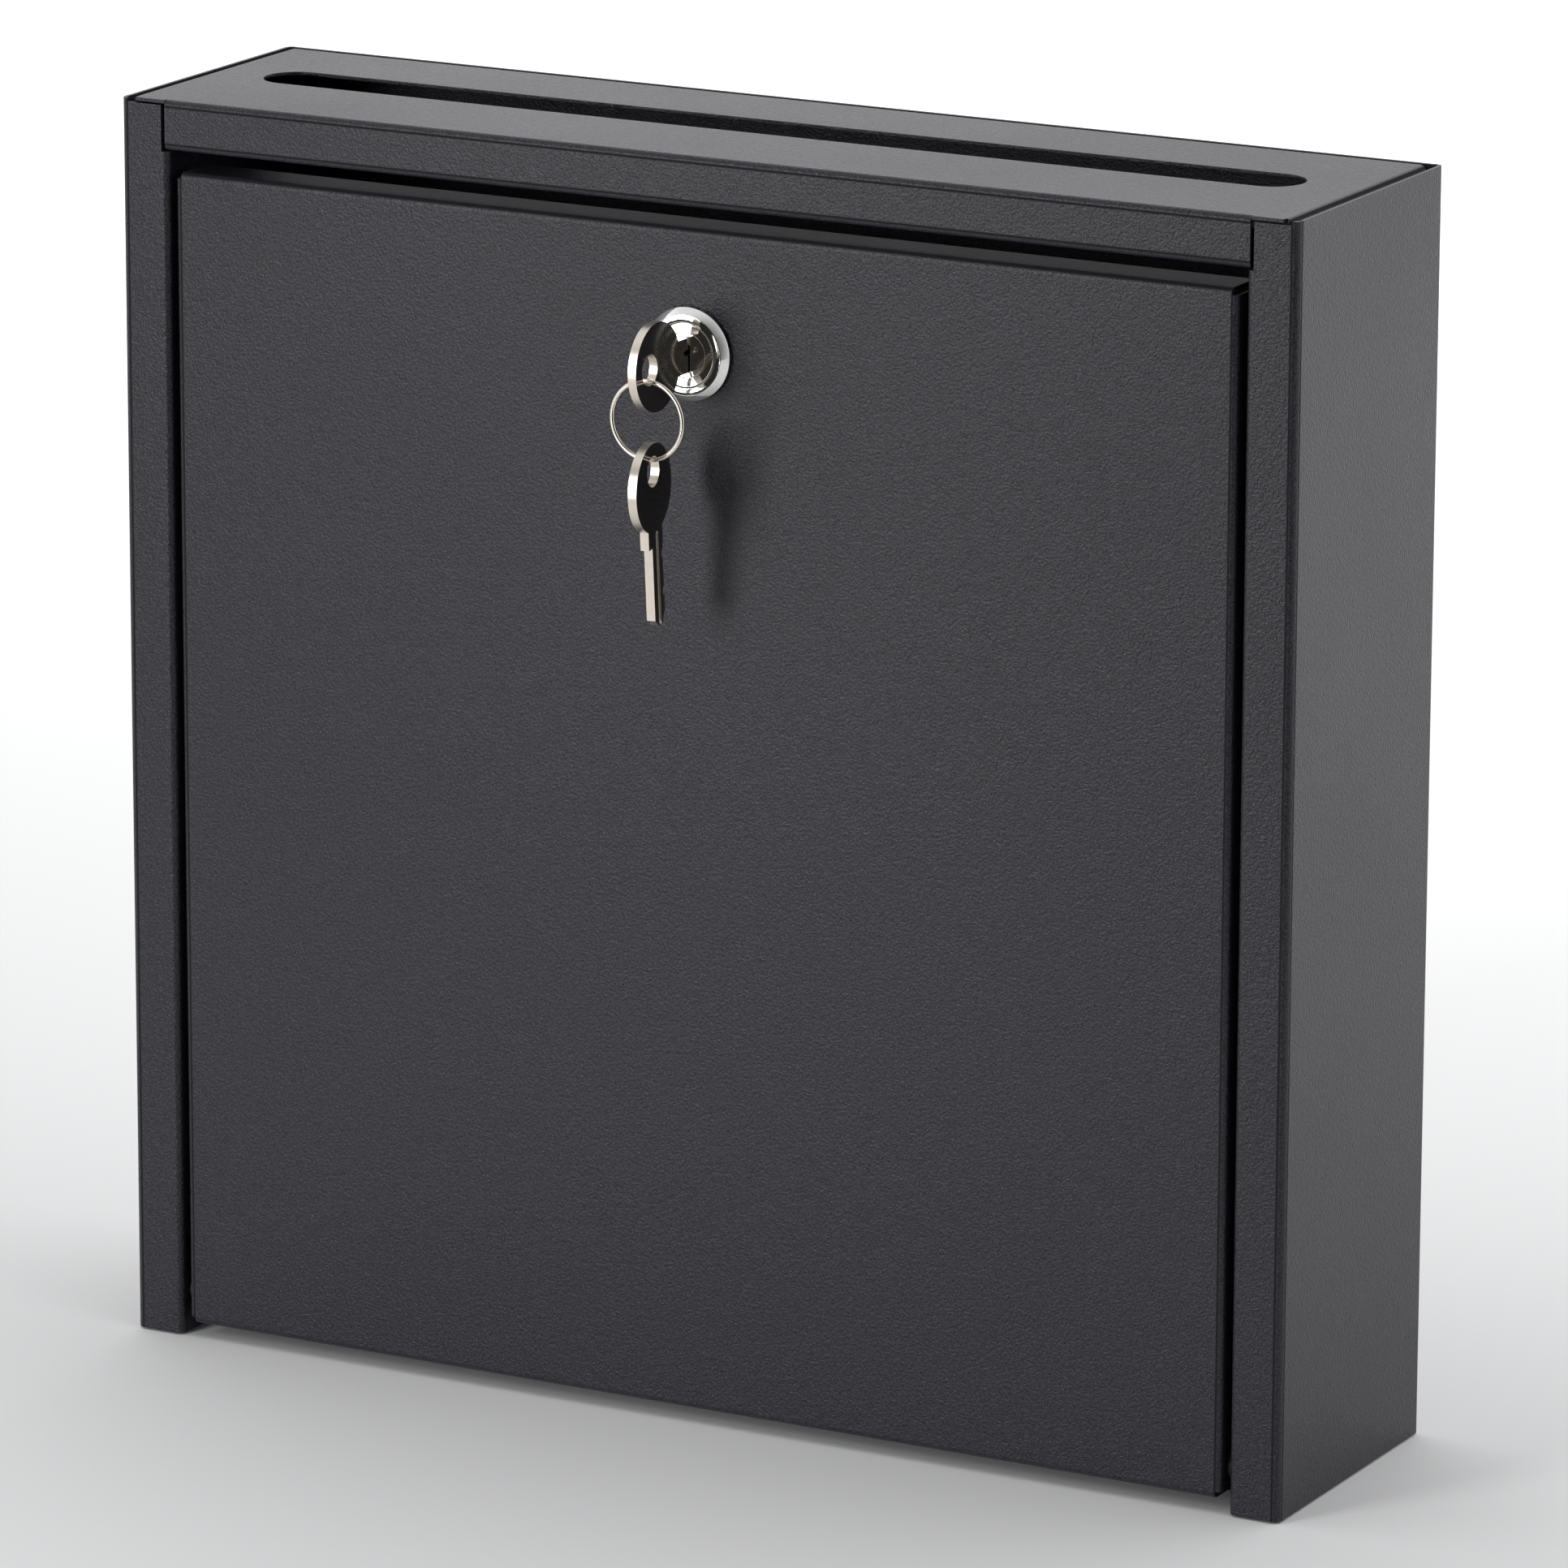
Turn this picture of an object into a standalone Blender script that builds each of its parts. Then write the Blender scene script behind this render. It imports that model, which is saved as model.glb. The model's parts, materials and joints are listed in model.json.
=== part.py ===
"""Wall-mounted parcel drop box: a folded-steel body with a letter slot in its top and a drop-down
front door, held shut by a cam lock. A key stands in the lock, and a ring carries the spare key.

Metres. X is the width, the door faces -Y, the wall is at +Y, and Z = 0 is the underside.
"""

import math

import bmesh
import bpy
from mathutils import Matrix, Vector

# Overall size
WIDTH = 0.305
DEPTH = 0.076
HEIGHT = 0.3015

# Sheet steel
SHEET = 0.0009
BODY_BEND = 0.0018
PAN_BEND = 0.0015
BEND_STEPS = 4
CLEARANCE = 0.0003
NEAR_HALF = 0.499

# Body
STILE = 0.0128
RETURN_DEPTH = 0.0132
STOP_FLANGE = 0.0057
STOP_START = 0.021
STOP_TOP_DROP = 0.003
WALL_DROP = 0.0003

# Top panel
HEADER_SIDE_GAP = 0.0009
HEADER_HEIGHT = 0.0119
STRIKE_RISE = 0.0066
GROOVE = 0.0016
TOP_FLANGE = 0.009
SLOT_LENGTH = 0.2708
SLOT_ASIDE = -0.0008
SLOT_WIDTH = 0.0157
SLOT_SETBACK = 0.0397

# Bottom panel
TRAY_FLANGE = 0.012
SILL_SETBACK = 0.0146
SILL_SIDE_GAP = 0.004

# Door
DOOR_SIDE_GAP = 0.0019
DOOR_TOP_GAP = 0.0048
DOOR_LIFT = 0.0032
DOOR_RETURN = 0.012
DOOR_BOTTOM_RETURN = 0.009

# Door pivots
PIVOT_BACK = 0.007
PIVOT_RISE = 0.0102
PIN_RADIUS = 0.0019
PIN_PLAY = 0.0002
PIN_HEAD_RADIUS = 0.003
PIN_HEAD = 0.0009
WASHER_RADIUS = 0.004

# Keyhole slots and lower screw holes in the back
KEYHOLE_SPREAD = 0.200
KEYHOLE_DROP = 0.055
KEYHOLE_RADIUS = 0.0045
KEYHOLE_NECK = 0.0024
KEYHOLE_RISE = 0.0105
SCREW_HOLE_HEIGHT = 0.045

# Lock
LOCK_ASIDE = -0.0005
LOCK_DROP = 0.0456
BEZEL_RADIUS = 0.011
BEZEL_FACE_RADIUS = 0.0095
BEZEL_PROUD = 0.0028
HOUSING_RADIUS = 0.0093
HOUSING_LENGTH = 0.0158
PLUG_RADIUS = 0.0075
PLUG_PLAY = 0.00015
PLUG_SUNK = 0.0002
PLUG_TAIL_GAP = 0.0009
TANG_SIDE = 0.0062
TANG_LENGTH = 0.0020
NUT_FLATS = 0.0235
NUT_THICK = 0.0026
CAM_THICK = 0.0016
CAM_WIDTH = 0.0145
CAM_OUTLINE_DEPTH = 0.018
CAM_TIP_DROP = 0.0004
CAM_GAP = 0.0007
CAM_CRANK_START = 0.0110
CAM_CRANK_RUN = 0.0030
CAM_WASHER_RADIUS = 0.0052
CAM_WASHER_THICK = 0.0010
SCREW_RADIUS = 0.0015
SCREW_HEAD_RADIUS = 0.0042
SCREW_HEAD = 0.0022
WAFERS = 5
WAFER_PITCH = 0.0029
WAFER_FIRST = 0.0040
WAFER_THICK = 0.0012
WAFER_WIDTH = 0.0068
WAFER_HEIGHT = 0.0124

# Keys and ring
KEY_THICK = 0.0021
KEY_PLAY = 0.00025
BOW_RADIUS = 0.0104
KEY_HOLE_RADIUS = 0.0036
KEY_HOLE_OFFSET = 0.0039
SHOULDER_LENGTH = 0.0034
SHOULDER_HIGH = 0.0042
SHOULDER_LOW = 0.0040
BLADE_HIGH = 0.0022
BLADE_LOW = 0.0038
GROOVE_WIDTH = 0.0014
BIT_DEPTH = 0.0010
BIT_COUNT = 5
RING_RADIUS = 0.0091
RING_WIRE = 0.0006
RING_ASIDE = 0.0004
RING_SLACK = 0.0004
RING_PIVOT_DROP = 0.007
SPARE_ASIDE = 0.0003
SPARE_TURN = math.radians(6.6)
SPARE_LEAN = math.radians(4.5)

# Places worked out from the sizes
HALF_WIDTH = WIDTH / 2
FRONT = -DEPTH / 2
BACK = DEPTH / 2
OPENING_HALF = HALF_WIDTH - STILE
RETURN_BACK = FRONT + RETURN_DEPTH
HEADER_BOTTOM = HEIGHT - HEADER_HEIGHT
DOOR_HALF = OPENING_HALF - DOOR_SIDE_GAP
DOOR_TOP = HEADER_BOTTOM - DOOR_TOP_GAP
PIVOT_Y = FRONT + PIVOT_BACK
PIVOT_Z = PIVOT_RISE
LOCK_Z = HEIGHT - LOCK_DROP
BEZEL_FACE = FRONT - BEZEL_PROUD
PLUG_FACE = BEZEL_FACE + PLUG_SUNK
PLUG_BACK = FRONT + HOUSING_LENGTH + PLUG_TAIL_GAP
CAM_FRONT = PLUG_BACK + CLEARANCE
CAM_BACK = CAM_FRONT + CAM_THICK
CAM_TIP_FRONT = RETURN_BACK + CAM_GAP
CAM_REACH = HEADER_BOTTOM + STRIKE_RISE - CAM_TIP_DROP - LOCK_Z
BLADE_LENGTH = HOUSING_LENGTH + BEZEL_PROUD + PLUG_SUNK
KEY_STOP = PLUG_FACE - CLEARANCE
BOW_Y = KEY_STOP - SHOULDER_LENGTH - BOW_RADIUS
KEY_TIP = KEY_STOP + BLADE_LENGTH
HOLE_Y = BOW_Y - KEY_HOLE_OFFSET
RING_X = LOCK_ASIDE + RING_ASIDE
RING_Z = LOCK_Z - KEY_HOLE_RADIUS - (RING_RADIUS - RING_WIRE) + RING_SLACK
RING_PIVOT_Z = LOCK_Z - RING_PIVOT_DROP
SPARE_X = RING_X + SPARE_ASIDE
SPARE_PIVOT_Z = RING_Z - RING_RADIUS

X = Vector((1, 0, 0))
Y = Vector((0, 1, 0))
Z = Vector((0, 0, 1))
ALONG_Y = Matrix.Rotation(math.radians(-90), 4, "X")
ALONG_X = Matrix.Rotation(math.radians(90), 4, "Y")
OUTWARD = Matrix.Rotation(math.radians(90), 4, "X")


def clear_scene():
    for obj in list(bpy.data.objects):
        bpy.data.objects.remove(obj, do_unlink=True)


def collection(name):
    found = bpy.data.collections.new(name)
    bpy.context.scene.collection.children.link(found)
    return found


def material(name, colour, metallic, roughness):
    made = bpy.data.materials.new(name)
    made.use_nodes = True
    shader = made.node_tree.nodes["Principled BSDF"]
    shader.inputs["Base Color"].default_value = (*colour, 1)
    shader.inputs["Metallic"].default_value = metallic
    shader.inputs["Roughness"].default_value = roughness
    return made


def add_object(name, data, home, look=None, joint=None, matrix=None):
    """Links an object. Its matrix is kept in world space when it hangs from a joint's empty."""
    obj = bpy.data.objects.new(name, data)
    home.objects.link(obj)
    if matrix is not None:
        obj.matrix_world = matrix
    if look is not None:
        obj.data.materials.append(look)
    if joint is not None:
        bpy.context.view_layer.update()
        obj.parent = joint
        obj.matrix_parent_inverse = joint.matrix_world.inverted()
    return obj


def joint_empty(name, place, home, parent=None):
    """The origin of a moving body, on its joint's axis."""
    empty = bpy.data.objects.new(name, None)
    home.objects.link(empty)
    empty.empty_display_size = 0.01
    empty.location = place
    bpy.context.view_layer.update()
    if parent is not None:
        empty.parent = parent
        empty.matrix_parent_inverse = parent.matrix_world.inverted()
        bpy.context.view_layer.update()
    return empty


def mesh_from(bm, name):
    mesh = bpy.data.meshes.new(name)
    bm.to_mesh(mesh)
    bm.free()
    return mesh


def shade_round(obj, degrees=35):
    obj.data.shade_smooth()
    obj.data.set_sharp_from_angle(angle=math.radians(degrees))


def cutter(name, mesh, matrix=None):
    obj = add_object(name, mesh, CUTTERS, matrix=matrix)
    obj.hide_render = True
    obj.display_type = "WIRE"
    return obj


def boolean(obj, other, operation="DIFFERENCE"):
    modifier = obj.modifiers.new(other.name, "BOOLEAN")
    modifier.operation = operation
    modifier.object = other
    modifier.solver = "EXACT"


def block_mesh(low, high, name):
    bm = bmesh.new()
    bmesh.ops.create_cube(bm, size=1)
    low = Vector(low)
    high = Vector(high)
    bmesh.ops.scale(bm, vec=high - low, verts=bm.verts)
    bmesh.ops.translate(bm, vec=(low + high) / 2, verts=bm.verts)
    return mesh_from(bm, name)


def block_cutter(name, low, high):
    return cutter(name, block_mesh(low, high, name))


def rod_cutter(name, centre, radius, length, turn, sides=24):
    bm = bmesh.new()
    bmesh.ops.create_cone(
        bm, cap_ends=True, segments=sides, radius1=radius, radius2=radius, depth=length
    )
    return cutter(name, mesh_from(bm, name), Matrix.Translation(centre) @ turn)


def bar_cutter(name, centre, length, width, deep, turn, steps=8):
    """A round-ended bar: its length along local X, its width along local Y, sunk along local Z."""
    bm = bmesh.new()
    bmesh.ops.create_cube(bm, size=1)
    bmesh.ops.scale(bm, vec=(length, width, deep), verts=bm.verts)
    upright = [e for e in bm.edges if abs((e.verts[0].co - e.verts[1].co).z) > deep / 2]
    bmesh.ops.bevel(bm, geom=upright, offset=width * NEAR_HALF, segments=steps, affect="EDGES", profile=0.5)
    return cutter(name, mesh_from(bm, name), Matrix.Translation(centre) @ turn)


def turned(name, profile, centre, turn, home, look, joint=None, steps=32):
    """A profile of (radius, height) points, closed at the axis or as a loop, turned with a Screw."""
    bm = bmesh.new()
    verts = [bm.verts.new((radius, 0, height)) for radius, height in profile]
    for first, second in zip(verts, verts[1:]):
        bm.edges.new((first, second))
    if min(radius for radius, _ in profile) > 0:
        bm.edges.new((verts[-1], verts[0]))
    matrix = Matrix.Translation(centre) @ turn
    obj = add_object(name, mesh_from(bm, name), home, look, joint, matrix)
    screw = obj.modifiers.new("turn", "SCREW")
    screw.axis = "Z"
    screw.steps = steps
    screw.render_steps = steps
    screw.use_merge_vertices = True
    screw.merge_threshold = 0.00001
    screw.use_smooth_shade = False
    return obj


def bend(along, inward, radius, turn=math.pi / 2):
    """The short moves that carry an edge round a bend, from running along to running inward."""
    moves = []
    last = Vector((0, 0, 0))
    for step in range(1, BEND_STEPS + 1):
        angle = turn * step / BEND_STEPS
        place = radius * (math.sin(angle) * along + (1 - math.cos(angle)) * inward)
        moves.append(place - last)
        last = place
    return moves


def fold(bm, edges, moves):
    """Draws a sheet on from its edges through the moves."""
    for move in moves:
        made = bmesh.ops.extrude_edge_only(bm, edges=edges)["geom"]
        verts = [item for item in made if isinstance(item, bmesh.types.BMVert)]
        edges = [item for item in made if isinstance(item, bmesh.types.BMEdge)]
        kept = set(verts)
        edges = [e for e in edges if e.verts[0] in kept and e.verts[1] in kept]
        bmesh.ops.translate(bm, vec=move, verts=verts)


def flat_sheet(corner, across, up):
    """One rectangle, facing along the cross product of its sides."""
    bm = bmesh.new()
    corners = [corner, corner + across, corner + across + up, corner + up]
    bm.faces.new([bm.verts.new(place) for place in corners])
    return bm


def edges_at(bm, axis, value, low=None, high=None, along=0):
    """The edges whose two ends lie at this value of an axis, within a stretch along another."""
    found = []
    for edge in bm.edges:
        if any(abs(v.co[axis] - value) > 1e-7 for v in edge.verts):
            continue
        middle = (edge.verts[0].co[along] + edge.verts[1].co[along]) / 2
        if low is None or low < middle < high:
            found.append(edge)
    return found


def solid_sheet(name, bm, facing, look, joint=None, thickness=SHEET):
    """Thickens a folded surface inward. The surface is the outside of the sheet."""
    bmesh.ops.recalc_face_normals(bm, faces=bm.faces)
    bm.normal_update()
    if sum(face.normal.dot(facing) * face.calc_area() for face in bm.faces) < 0:
        bmesh.ops.reverse_faces(bm, faces=bm.faces)
    obj = add_object(name, mesh_from(bm, name), PARTS, look, joint)
    solidify = obj.modifiers.new("sheet", "SOLIDIFY")
    solidify.thickness = thickness
    solidify.offset = -1
    solidify.use_even_offset = True
    return obj


def body_wrap(look):
    """Back, sides and front stiles in one folded sheet, with the door's stop flanges."""
    inside_bend = BODY_BEND - SHEET
    low = Vector((HALF_WIDTH - BODY_BEND, BACK, 0))
    wall_top = HEIGHT - WALL_DROP
    bm = flat_sheet(low, -2 * low.x * X, wall_top * Z)
    for side in (-1, 1):
        out = side * X
        depth_run = -(DEPTH - 2 * BODY_BEND) * Y
        stile_run = -(STILE - 2 * BODY_BEND) * out
        return_run = (RETURN_DEPTH - SHEET - BODY_BEND - inside_bend) * Y
        stop_run = -(STOP_FLANGE - inside_bend) * out
        moves = bend(out, -Y, BODY_BEND) + [depth_run]
        moves += bend(-Y, -out, BODY_BEND) + [stile_run]
        moves += bend(-out, Y, BODY_BEND) + [return_run]
        moves += bend(Y, -out, inside_bend) + [stop_run]
        fold(bm, edges_at(bm, 0, side * low.x), moves)
    obj = solid_sheet("body_wrap", bm, Y, look)
    for side in (-1, 1):
        name = "left" if side < 0 else "right"
        inner = OPENING_HALF - STOP_FLANGE - 2 * SHEET
        outer = OPENING_HALF + HEADER_SIDE_GAP + SHEET
        notch = sorted((side * inner, side * outer))
        notch_low = (notch[0], FRONT - SHEET, HEADER_BOTTOM - CLEARANCE)
        notch_high = (notch[1], RETURN_BACK + 2 * SHEET, HEIGHT + SHEET)
        boolean(obj, block_cutter("cut_header_" + name, notch_low, notch_high))
        tab = sorted((side * (outer - SHEET), side * (HALF_WIDTH - BODY_BEND)))
        tab_low = (tab[0], FRONT - SHEET, HEIGHT - SHEET - CLEARANCE)
        tab_high = (tab[1], FRONT + 2 * SHEET, HEIGHT + SHEET)
        boolean(obj, block_cutter("cut_tab_" + name, tab_low, tab_high))
        stop = sorted((side * inner, side * (OPENING_HALF - CLEARANCE)))
        stop_low = (stop[0], FRONT + BODY_BEND, -SHEET)
        stop_high = (stop[1], RETURN_BACK + 2 * SHEET, STOP_START)
        boolean(obj, block_cutter("cut_stop_" + name, stop_low, stop_high))
        top_low = (stop[0], FRONT + BODY_BEND, DOOR_TOP - STOP_TOP_DROP)
        top_high = (stop[1], RETURN_BACK + 2 * SHEET, HEADER_BOTTOM)
        boolean(obj, block_cutter("cut_stop_top_" + name, top_low, top_high))
        pin = (side * OPENING_HALF, PIVOT_Y, PIVOT_Z)
        boolean(obj, rod_cutter("cut_pin_" + name, pin, PIN_RADIUS + PIN_PLAY, 4 * SHEET, ALONG_X, 20))
        cut_wall_holes(obj, side, name)
    return obj


def cut_wall_holes(obj, side, name):
    """A keyhole slot near the top of the back and a plain screw hole near its bottom."""
    aside = side * KEYHOLE_SPREAD / 2
    height = HEIGHT - KEYHOLE_DROP
    head = (aside, BACK, height)
    neck = (aside, BACK, height + KEYHOLE_RISE / 2)
    upright = ALONG_Y @ Matrix.Rotation(math.radians(90), 4, "Z")
    boolean(obj, rod_cutter("cut_keyhole_" + name, head, KEYHOLE_RADIUS, 4 * SHEET, ALONG_Y))
    length = KEYHOLE_RISE + 2 * KEYHOLE_NECK
    boolean(obj, bar_cutter("cut_neck_" + name, neck, length, 2 * KEYHOLE_NECK, 4 * SHEET, upright, 4))
    lower = (aside, BACK, SCREW_HOLE_HEIGHT)
    boolean(obj, rod_cutter("cut_screw_hole_" + name, lower, KEYHOLE_NECK, 4 * SHEET, ALONG_Y, 16))


def top_panel(look):
    """The slotted top: a header channel that the cam hooks behind, and turned-down edges."""
    side_edge = HALF_WIDTH - SHEET - GROOVE - PAN_BEND
    back_edge = BACK - SHEET - GROOVE - PAN_BEND
    header_half = OPENING_HALF + HEADER_SIDE_GAP
    front_edge = FRONT + PAN_BEND
    corner = Vector((-side_edge, front_edge, HEIGHT))
    bm = flat_sheet(corner, 2 * side_edge * X, (back_edge - front_edge) * Y)
    for x in (-header_half, header_half):
        cut = bm.verts[:] + bm.edges[:] + bm.faces[:]
        bmesh.ops.bisect_plane(bm, geom=cut, plane_co=(x, 0, 0), plane_no=X)
    header_run = -(HEADER_HEIGHT - 2 * PAN_BEND) * Z
    return_run = (RETURN_DEPTH - 2 * PAN_BEND) * Y
    strike_run = (STRIKE_RISE - PAN_BEND) * Z
    header = bend(-Y, -Z, PAN_BEND) + [header_run]
    header += bend(-Z, Y, PAN_BEND) + [return_run]
    header += bend(Y, Z, PAN_BEND) + [strike_run]
    edges = edges_at(bm, 1, front_edge)
    middle = [e for e in edges if abs(e.verts[0].co.x + e.verts[1].co.x) < WIDTH / 10]
    corners = [e for e in edges if e not in middle]
    fold(bm, middle, header)
    fold(bm, corners, [-(PAN_BEND - CLEARANCE) * Y])
    flange = -(TOP_FLANGE - PAN_BEND) * Z
    fold(bm, edges_at(bm, 1, back_edge), bend(Y, -Z, PAN_BEND) + [flange])
    for side in (-1, 1):
        flat = edges_at(bm, 0, side * side_edge, front_edge, back_edge, 1)
        fold(bm, flat, bend(side * X, -Z, PAN_BEND) + [flange])
    obj = solid_sheet("top_panel", bm, Z, look)
    slot = (SLOT_ASIDE, FRONT + SLOT_SETBACK, HEIGHT)
    boolean(obj, bar_cutter("cut_slot", slot, SLOT_LENGTH, SLOT_WIDTH, 6 * SHEET, Matrix(), 16))
    return obj


def bottom_panel(look):
    """A tray in the foot of the body. Its front sill stops the open door."""
    side_edge = HALF_WIDTH - SHEET - CLEARANCE - PAN_BEND
    back_edge = BACK - SHEET - CLEARANCE - PAN_BEND
    front_edge = FRONT + SILL_SETBACK + PAN_BEND
    sill_half = OPENING_HALF - SILL_SIDE_GAP
    corner = Vector((side_edge, front_edge, 0))
    bm = flat_sheet(corner, -2 * side_edge * X, (back_edge - front_edge) * Y)
    for x in (-sill_half, sill_half):
        cut = bm.verts[:] + bm.edges[:] + bm.faces[:]
        bmesh.ops.bisect_plane(bm, geom=cut, plane_co=(x, 0, 0), plane_no=X)
    flange = (TRAY_FLANGE - PAN_BEND) * Z
    sill = [e for e in edges_at(bm, 1, front_edge) if abs(e.verts[0].co.x + e.verts[1].co.x) < WIDTH / 10]
    fold(bm, sill, bend(-Y, Z, PAN_BEND) + [flange])
    fold(bm, edges_at(bm, 1, back_edge), bend(Y, Z, PAN_BEND) + [flange])
    for side in (-1, 1):
        flat = edges_at(bm, 0, side * side_edge, front_edge, back_edge, 1)
        fold(bm, flat, bend(side * X, Z, PAN_BEND) + [flange])
    return solid_sheet("bottom_panel", bm, -Z, look)


def door_panel(look, joint):
    """A pan with four turned-back edges, open at its corner notches."""
    low = Vector((-DOOR_HALF + PAN_BEND, FRONT, DOOR_LIFT + PAN_BEND))
    tall = DOOR_TOP - DOOR_LIFT - 2 * PAN_BEND
    bm = flat_sheet(low, -2 * low.x * X, tall * Z)
    side_flange = (DOOR_RETURN - PAN_BEND) * Y
    bottom_flange = (DOOR_BOTTOM_RETURN - PAN_BEND) * Y
    fold(bm, edges_at(bm, 2, low.z + tall), bend(Z, Y, PAN_BEND) + [side_flange])
    fold(bm, edges_at(bm, 2, low.z), bend(-Z, Y, PAN_BEND) + [bottom_flange])
    for side in (-1, 1):
        flat = edges_at(bm, 0, -side * low.x, low.z, low.z + tall, 2)
        fold(bm, flat, bend(side * X, Y, PAN_BEND) + [side_flange])
    obj = solid_sheet("door_panel", bm, -Y, look, joint)
    lock = (LOCK_ASIDE, FRONT, LOCK_Z)
    boolean(obj, rod_cutter("cut_lock", lock, HOUSING_RADIUS + CLEARANCE, 4 * SHEET, ALONG_Y, 36))
    for side in (-1, 1):
        pin = (side * DOOR_HALF, PIVOT_Y, PIVOT_Z)
        name = "cut_door_pin_left" if side < 0 else "cut_door_pin_right"
        boolean(obj, rod_cutter(name, pin, PIN_RADIUS + PIN_PLAY, 4 * SHEET, ALONG_X, 20))
    return obj


def pivot_rivet(name, side, look):
    """A headed pin through the stile's return and the door's side."""
    inner_head = DOOR_HALF - SHEET - CLEARANCE
    outer_head = OPENING_HALF + SHEET + CLEARANCE
    profile = [
        (0, outer_head + PIN_HEAD),
        (PIN_HEAD_RADIUS - CLEARANCE, outer_head + PIN_HEAD),
        (PIN_HEAD_RADIUS, outer_head + PIN_HEAD - CLEARANCE),
        (PIN_HEAD_RADIUS, outer_head),
        (PIN_RADIUS, outer_head),
        (PIN_RADIUS, inner_head),
        (PIN_HEAD_RADIUS, inner_head),
        (PIN_HEAD_RADIUS, inner_head - PIN_HEAD + CLEARANCE),
        (PIN_HEAD_RADIUS - CLEARANCE, inner_head - PIN_HEAD),
        (0, inner_head - PIN_HEAD),
    ]
    turn = Matrix.Rotation(math.radians(90 * side), 4, "Y")
    return turned(name, profile, (0, PIVOT_Y, PIVOT_Z), turn, PARTS, look, steps=20)


def pivot_washer(name, side, look):
    """A plastic washer that fills the gap between the door's side and the stile's return."""
    inner = DOOR_HALF + CLEARANCE
    outer = OPENING_HALF - CLEARANCE
    hole = PIN_RADIUS + PIN_PLAY
    profile = [(hole, outer), (WASHER_RADIUS, outer), (WASHER_RADIUS, inner), (hole, inner)]
    turn = Matrix.Rotation(math.radians(90 * side), 4, "Y")
    return turned(name, profile, (0, PIVOT_Y, PIVOT_Z), turn, PARTS, look, steps=20)


def lock_housing(look, joint):
    """The fixed barrel of the lock, with a bevelled bezel on the door's face."""
    bore = PLUG_RADIUS + PLUG_PLAY
    profile = [
        (bore, BEZEL_PROUD),
        (BEZEL_FACE_RADIUS, BEZEL_PROUD),
        (BEZEL_RADIUS, SHEET + CLEARANCE),
        (BEZEL_RADIUS, CLEARANCE),
        (HOUSING_RADIUS, CLEARANCE),
        (HOUSING_RADIUS, -HOUSING_LENGTH),
        (bore, -HOUSING_LENGTH),
    ]
    centre = (LOCK_ASIDE, FRONT, LOCK_Z)
    return turned("lock_housing", profile, centre, OUTWARD, PARTS, look, joint, 40)


def arc(centre, radius, start, end, steps):
    """Points round an arc, its ends included. Angles are in degrees."""
    angles = [math.radians(start + (end - start) * step / steps) for step in range(steps + 1)]
    return [(centre[0] + radius * math.cos(a), centre[1] + radius * math.sin(a)) for a in angles]


def plate_mesh(name, outlines, thickness):
    """A flat plate, centred on its thickness, from closed outlines. The later ones are its holes."""
    curve = bpy.data.curves.new(name, "CURVE")
    curve.dimensions = "2D"
    curve.fill_mode = "BOTH"
    curve.extrude = thickness / 2
    for outline in outlines:
        spline = curve.splines.new("POLY")
        spline.points.add(len(outline) - 1)
        for point, (x, y) in zip(spline.points, outline):
            point.co = (x, y, 0, 1)
        spline.use_cyclic_u = True
    obj = bpy.data.objects.new(name, curve)
    CUTTERS.objects.link(obj)
    mesh = evaluated_mesh(obj)
    bpy.data.objects.remove(obj, do_unlink=True)
    return mesh


def evaluated_mesh(obj):
    """The object's shape after its modifiers, as a mesh with its caps welded."""
    graph = bpy.context.evaluated_depsgraph_get()
    mesh = bpy.data.meshes.new_from_object(obj.evaluated_get(graph))
    bm = bmesh.new()
    bm.from_mesh(mesh)
    bmesh.ops.remove_doubles(bm, verts=bm.verts, dist=0.000001)
    bmesh.ops.recalc_face_normals(bm, faces=bm.faces)
    bm.to_mesh(mesh)
    bm.free()
    return mesh


def rectangle(half_width, low, high):
    return [(-half_width, low), (half_width, low), (half_width, high), (-half_width, high)]


def lock_nut(look, joint):
    corner = NUT_FLATS / 2 / math.cos(math.radians(30))
    hexagon = arc((0, 0), corner, 0, 300, 5)
    hole = arc((0, 0), HOUSING_RADIUS + CLEARANCE, 0, 350, 35)
    mesh = plate_mesh("lock_nut", [hexagon, hole], NUT_THICK)
    centre = (LOCK_ASIDE, FRONT + SHEET + CLEARANCE + NUT_THICK / 2, LOCK_Z)
    return add_object("lock_nut", mesh, PARTS, look, joint, Matrix.Translation(centre) @ OUTWARD)


def lock_block(name, half_width, y_low, y_high, up, down=None):
    """A box cutter about the lock's axis, reaching the same way down as up unless told otherwise."""
    down = up if down is None else down
    low = (LOCK_ASIDE - half_width, y_low, LOCK_Z - down)
    high = (LOCK_ASIDE + half_width, y_high, LOCK_Z + up)
    return block_cutter(name, low, high)


def wafer_place(index):
    return PLUG_FACE + WAFER_FIRST + index * WAFER_PITCH


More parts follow.
